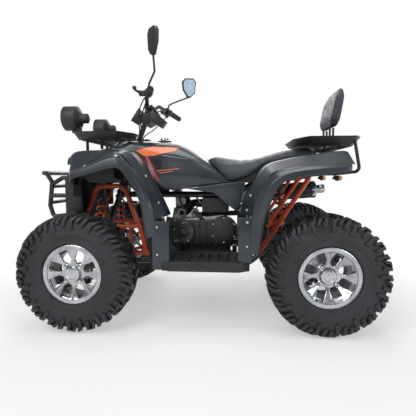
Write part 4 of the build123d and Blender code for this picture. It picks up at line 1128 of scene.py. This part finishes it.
class QUAD_OT_lamps(bpy.types.Operator):
    """Headlamp glasses and bowls, work-lamp rims and guards, tail lamps"""
    bl_idname = "quad.lamps"
    bl_label = "Lamps"

    def execute(self, context):
        low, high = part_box("lamp_lenses")
        face, centre_z, radius = high[0], (low[2] + high[2]) / 2, (high[2] - low[2]) / 2
        parts = []
        for side in (1, -1):
            y = side * 0.212
            parts.append(turned([(-0.020, radius + 0.001), (-0.020, radius + 0.006),
                                 (0.004, radius + 0.0065), (0.006, radius + 0.003),
                                 (0.004, radius - 0.003), (0.001, radius - 0.003)], (face, y, centre_z),
                                (1, 0, 0), 64))
            for share in (0.34, -0.06, -0.42):
                half = radius * math.sqrt(1 - share * share) - 0.002
                z = centre_z + share * radius
                parts.append(cuboid((face + 0.001, y - half, z - 0.0016),
                                    (face + 0.009, y + half, z + 0.0016), 0.0008))
                for k in (-0.5, 0, 0.5):
                    parts.append(cuboid((face + 0.006, y + k * half - 0.002, z - 0.0022),
                                        (face + 0.014, y + k * half + 0.002, z + 0.0022), 0.0008))
            parts.append(bolt((face - 0.075, y + 0.028, centre_z - radius - 0.004), (0, 1, 0), 0.005))
        piece(parts, "work_lamp_guards", "black_plastic", "black_plastic")
        self.headlamps()
        self.tail()
        return {"FINISHED"}

    def headlamps(self):
        line = [(103.5, 256), (100, 276), (94.5, 300), (74, 344), (49, 396)]
        rows = [[(mm(F, x + push), y + push, z) for x, y in line]
                for z, push in ((706, 0), (714, 2.5), (750, 4), (784, 2.5), (792, 0))]
        left = sheet_of(rows, (1, 0.5, 0), 0.0025, 1)
        piece([left, mirrored(left)], "headlamp_glasses", "lens", "lamp_glass")
        bowls = []
        for side in (1, -1):
            for (x, y), (ahead, aside) in (((101, 276), (1, 0.25)), ((76, 338), (0.87, 0.5))):
                bowls.append(turned([(-0.010, 0), (-0.009, 0.012), (-0.002, 0.026), (0.0015, 0.030),
                                     (0.0015, 0.033), (-0.012, 0.033), (-0.014, 0)],
                                    (F(x), side * y / 1000, 0.750), (ahead, side * aside, 0), 40))
        piece(bowls, "headlamp_bowls", "chrome", "lamp_glass")

    def tail(self):
        back, ahead = R(-118), R(-97.4)
        case = cuboid((back + 0.006, -0.110, 0.776), (ahead, 0.110, 0.830), 0.004)
        lenses = [painted(cuboid((back, -0.104, 0.781), (back + 0.0075, 0.104, 0.825), 0.003), "red")]
        cases = [painted(case, "black_plastic")]
        for side in (1, -1):
            spot = Vector((R(-80), side * 0.170, 0.7346))
            cup = turned([(0, 0), (0, 0.006), (0.010, 0.008), (0.018, 0.0140), (0.030, 0.0142), (0.030, 0)],
                         spot, (-1, 0, 0), 32)
            lens = turned([(0.030, 0), (0.030, 0.0138), (0.042, 0.0125), (0.0475, 0.008), (0.048, 0)],
                          spot, (-1, 0, 0), 32)
            stem = rod(spot + Vector((-0.010, 0, 0.006)), spot + Vector((-0.010, 0, 0.030)), 0.005)
            cases += [painted(cup, "black_plastic"), painted(stem, "black_plastic")]
            lenses.append(painted(lens, "amber"))
        piece(cases + lenses, "tail_lamps", None, "red_lens", ("tail_light",))


class QUAD_OT_front_end(bpy.types.Operator):
    """Screens of the grille"""
    bl_idname = "quad.front_end"
    bl_label = "Grille screens"

    def execute(self, context):
        flat, upright = (0, 1, 0), (0, 0, 1)
        parts = [screen((F(148) - 0.0125, 0, 0.658), flat, upright, 0.396, 0.160, (44, 18), 0.0016),
                 screen((F(99), 0, 0.795), flat, upright, 0.496, 0.094, (56, 11), 0.0020)]
        for side in (1, -1):
            parts.append(rod((F(102), side * 0.125, 0.747), (F(102), side * 0.125, 0.842), 0.005))
            parts.append(screen((M(664), side * 0.2515, 0.680), (1, 0, 0), upright, 0.066, 0.086, (9, 12),
                                0.0018))
        piece(parts, "grille_screens", "black_paint", "black_plastic")
        return {"FINISHED"}


class QUAD_OT_engine(bpy.types.Operator):
    """Carburettor, crankcase covers, bolts, hoses and the exhaust's trim"""
    bl_idname = "quad.engine"
    bl_label = "Engine details"

    def execute(self, context):
        cast, black, bolts = [], [], []
        out, away = (0, 1, 0), (0, -1, 0)
        cast.append(turned([(0, 0.014), (0, 0.027), (0.030, 0.025), (0.034, 0.022), (0.034, 0.016),
                            (0.010, 0.014)], at(133, 98, 542), out, 40))
        for corners, low, high, bevel in (
                ([(182, 531), (182, 489), (69, 489), (22, 528), (68, 562), (100, 530)], 72, 118, 7),
                ([(176, 383), (120, 372), (-60, 372), (-110, 382), (-180, 440), (-180, 480), (-100, 534),
                  (110, 508), (172, 476)], 128, 145.5, 4),
                ([(178, 600), (168, 636), (116, 652), (100, 628)], -50, 50, 8)):
            cast.append(slab(corners, low, high, bevel))
        for made, start, end, radius in ((cast, (60, 95, 545), (60, 132, 545), 0.021),
                                         (cast, (146, -75, 606), (146, 75, 606), 0.030),
                                         (black, (63, 150, 555), (2, 150, 499), 0.010),
                                         (black, (2, 120, 499), (2, 152, 499), 0.008)):
            made.append(rod(at(*start), at(*end), radius))
        for radius, spots in (
                (0.0055, ((120, 90, 552), (150, 120, 600), (165, 80, 660), (150, 30, 700))),
                (0.021, ((60, 20, 592), (84, 30, 596), (104, 62, 576), (120, 86, 556))),
                (0.004, ((150, 52, 618), (190, 80, 640), (200, 60, 690))),
                (0.005, ((-60, 100, 520), (-20, 135, 545), (20, 125, 580), (60, 90, 640))),
                (0.005, ((180, 100, 500), (200, 110, 440), (196, 120, 360), (150, 100, 310)))):
            black.append(wire([at(*spot) for spot in spots], radius))
        for x in (58, 22, -14):
            black.append(cuboid(at(x, 160, 385), at(x + 6, 196.5, 506)))
        hub = at(113, 205.5, 443)
        black.append(turned([(0, 0.030), (0, 0.058), (0.004, 0.060), (0.008, 0.056), (0.008, 0.030)], hub,
                            out))
        black.append(turned([(0, 0), (0, 0.018), (0.010, 0.017), (0.012, 0.013), (0.012, 0)], hub, out, 24))
        for (x, z, r, y), turns in (((113, 0.443, 0.051, 0.2125), (20, 92, 164, 236, 308)),
                                    ((-105, 0.458, 0.064, 0.2055), (30, 90, 150, 210, 270, 330))):
            for a in map(math.radians, turns):
                bolts.append(bolt((M(x) + r * math.cos(a), y, z + r * math.sin(a)), out, 0.0048))
        for x, z, r in ((-48, 0.392, 0.072), (72, 0.378, 0.048)):
            cast.append(turned([(0, 0), (0, r + 0.004), (0.008, r + 0.004), (0.012, r), (0.026, r - 0.006),
                                (0.030, r - 0.016), (0.030, 0)], (M(x), -0.106, z), away))
            black.append(turned([(0, 0), (0, r * 0.42), (0.006, r * 0.40), (0.008, r * 0.3), (0.008, 0)],
                                (M(x), -0.136, z), away, 32))
            reach = r - 0.008
            for a in map(math.radians, range(20, 380, 60)):
                spot = (M(x) + reach * math.cos(a), -0.128, z + reach * math.sin(a))
                bolts.append(bolt(spot, away, 0.0042))
        for x, z in ((172, 470), (160, 392), (-170, 460), (-60, 378), (40, 378)):
            bolts.append(bolt(at(x, 145.5, z), out, 0.0045))
        piece(cast, "engine_castings", "cast", "engine_black")
        piece(black, "engine_hoses_ribs", "black_paint", "engine_black")
        piece(bolts, "engine_bolts", None, "steel")
        self.exhaust()
        return {"FINISHED"}

    def exhaust(self):
        start, end = Vector(at(-380, -226, 640)), Vector(at(-668, -226, 664))
        line = (end - start).normalized()
        cone = [(0, 0), (0, 0.0528), (0.006, 0.0540), (0.020, 0.0530), (0.030, 0.040), (0.032, 0.0245),
                (0.050, 0.0245), (0.050, 0)]
        tip = [(0, 0.018), (0, 0.0262), (0.030, 0.0262), (0.032, 0.0245), (0.032, 0.018)]
        band = [(0, 0.050), (0, 0.0545), (0.014, 0.0545), (0.014, 0.050)]
        chrome = [turned(cone, end - line * 0.022, line, 64), turned(tip, end + line * 0.028, line),
                  turned(band, start + line * 0.07, line, 64)]
        piece(chrome, "silencer_trim", "chrome", "steel")
        shields = [slab([(-410, 668), (-600, 684), (-620, 664), (-600, 648), (-410, 630)], -283.5, -280,
                        1.5)]
        for i in range(5):
            x = -440 - 36 * i
            shields.append(cuboid(at(x, -285.5, 640), at(x + 16, -283, 668), 0.001))
        piece(shields, "silencer_shield", "black_paint", "black_paint")


class QUAD_OT_controls(bpy.types.Operator):
    """Cables, hanging boxes, switch and caps of the handlebar; filler cap"""
    bl_idname = "quad.controls"
    bl_label = "Handlebar details"

    def execute(self, context):
        cap = turned([(-0.006, 0), (-0.006, 0.034), (0.006, 0.034), (0.008, 0.031), (0.010, 0.024),
                      (0.020, 0.022), (0.023, 0.018), (0.023, 0)], (M(251), 0, 0.947), (0, 0, 1), 48)
        base = turned([(-0.008, 0.030), (-0.008, 0.043), (0.002, 0.043), (0.005, 0.038), (0.005, 0.030)],
                      (M(251), 0, 0.947), (0, 0, 1), 48)
        piece([painted(cap, "chrome"), painted(base, "black_plastic")], "filler_cap", None, "steel")
        parts = [slab([(436, 1170), (488, 1093), (450, 1069), (397, 1123)], -185, -115, 4),
                 slab([(293, 1107), (322, 1065), (250, 1014), (222, 1050), (258, 1082)], 45, 105, 4),
                 rod(at(410, -150, 1125), at(330, -150, 1178), 0.008),
                 rod(at(262, 75, 1080), at(312, 85, 1142), 0.008)]
        root = COLUMN_FOOT + COLUMN_AXIS * 0.64
        for side, ahead, spots in ((1, 0.012, ((300, 215, 1168), (372, 130, 1130), (392, 50, 1040))),
                                   (1, -0.012, ((280, 262, 1150), (352, 170, 1070), (370, 60, 1000))),
                                   (-1, 0.012, ((300, -215, 1168), (376, -120, 1140), (396, -50, 1050))),
                                   (-1, -0.012, ((280, -262, 1150), (340, -190, 1050), (372, -60, 1000)))):
            end = root + Vector((ahead, side * 0.019, 0))
            parts.append(wire([*(at(*spot) for spot in spots), at(386, side * 24, 980), tuple(end)],
                              0.0034))
        piece(parts, "handlebar_boxes_cables", "black_plastic", "black_plastic", body="steering")
        switch = cuboid(at(290, 206, 1180), at(304, 222, 1201))
        piece(switch, "stop_switch", "red", "black_plastic", body="steering")
        return {"FINISHED"}


class QUAD_OT_trim(bpy.types.Operator):
    """Edge lips of the flares, guard bolts and footboard teeth"""
    bl_idname = "quad.trim"
    bl_label = "Trim"

    def execute(self, context):
        lips = []
        for frame, sections in ((F, FRONT_FLARE), (R, REAR_FLARE)):
            for side in (1, -1):
                lips.append(wire([(frame(x), side * (reach - EDGE_ROLL) / 1000, z / 1000)
                                  for _, (x, z), reach in sections], 0.0045, 12))
        piece(lips, "flare_lips", "black_plastic", "body_plastic")
        bolts_on(bpy.data.objects["foot_guards_moulding"], "guard_bolts", GUARD_BOLTS)
        tooth = [(0, 0), (0, 0.0042), (0.006, 0.0024), (0.006, 0)]
        teeth = [turned(tooth, at(-171 + 48 * i, side * (246 + 22 * j), 332.5), (0, 0, 1), 6)
                 for side in (1, -1) for i in range(7) for j in range(7)]
        piece(teeth, "footboard_teeth", "black_plastic", "black_plastic")
        self.liners()
        return {"FINISHED"}

    def liners(self):
        """Dark inner panels: under the seat, behind the fenders, by the engine, at the boards' corners."""
        parts = []
        for side in (1, -1):
            for low, high, corners in (
                    (150, 154, [(-100, 702), (-100, 722), (-190, 738), (-240, 768), (-330, 826),
                                (-440, 848), (-440, 800), (-300, 716)]),
                    (196, 200, [(404, 862), (262, 700), (262, 640), (318, 600), (412, 700)]),
                    (104, 108, [(128, 300), (214, 306), (238, 430), (222, 520), (128, 500)]),
                    (424, 449.2, [(150, 296), (181, 296), (181, 339), (150, 339)])):
                parts.append(slab(corners, *sorted((side * low, side * high)), 1))
        piece(parts, "inner_liners", "black_plastic", "black_plastic")


STEPS = [QUAD_OT_stage, QUAD_OT_finishes, QUAD_OT_tyres, QUAD_OT_rims, QUAD_OT_front_body, QUAD_OT_tank,
         QUAD_OT_rear_body, QUAD_OT_mouldings, QUAD_OT_seat, QUAD_OT_shocks, QUAD_OT_lamps,
         QUAD_OT_front_end, QUAD_OT_engine, QUAD_OT_controls, QUAD_OT_trim]


class QUAD_PT_panel(bpy.types.Panel):
    """Sizes, colours and steps of the quad bike"""
    bl_idname = "QUAD_PT_panel"
    bl_label = "Quad bike"
    bl_space_type = "VIEW_3D"
    bl_region_type = "UI"
    bl_category = "Quad bike"

    def draw(self, context):
        for group in (context.scene.quad_sizes, context.scene.quad_colours):
            for key in group.bl_rna.properties.keys():
                if key not in ("name", "rna_type"):
                    self.layout.prop(group, key)
        for step in STEPS:
            self.layout.operator(step.bl_idname)


CLASSES = [QuadSizes, QuadColours, *STEPS, QUAD_PT_panel]


def register():
    for cls in CLASSES:
        bpy.utils.register_class(cls)
    bpy.types.Scene.quad_sizes = PointerProperty(type=QuadSizes)
    bpy.types.Scene.quad_colours = PointerProperty(type=QuadColours)


def unregister():
    del bpy.types.Scene.quad_colours
    del bpy.types.Scene.quad_sizes
    for cls in reversed(CLASSES):
        bpy.utils.unregister_class(cls)


def main():
    register()
    for step in STEPS:
        group, name = step.bl_idname.split(".")
        getattr(getattr(bpy.ops, group), name)()
    alone()


if __name__ == "__main__":
    main()
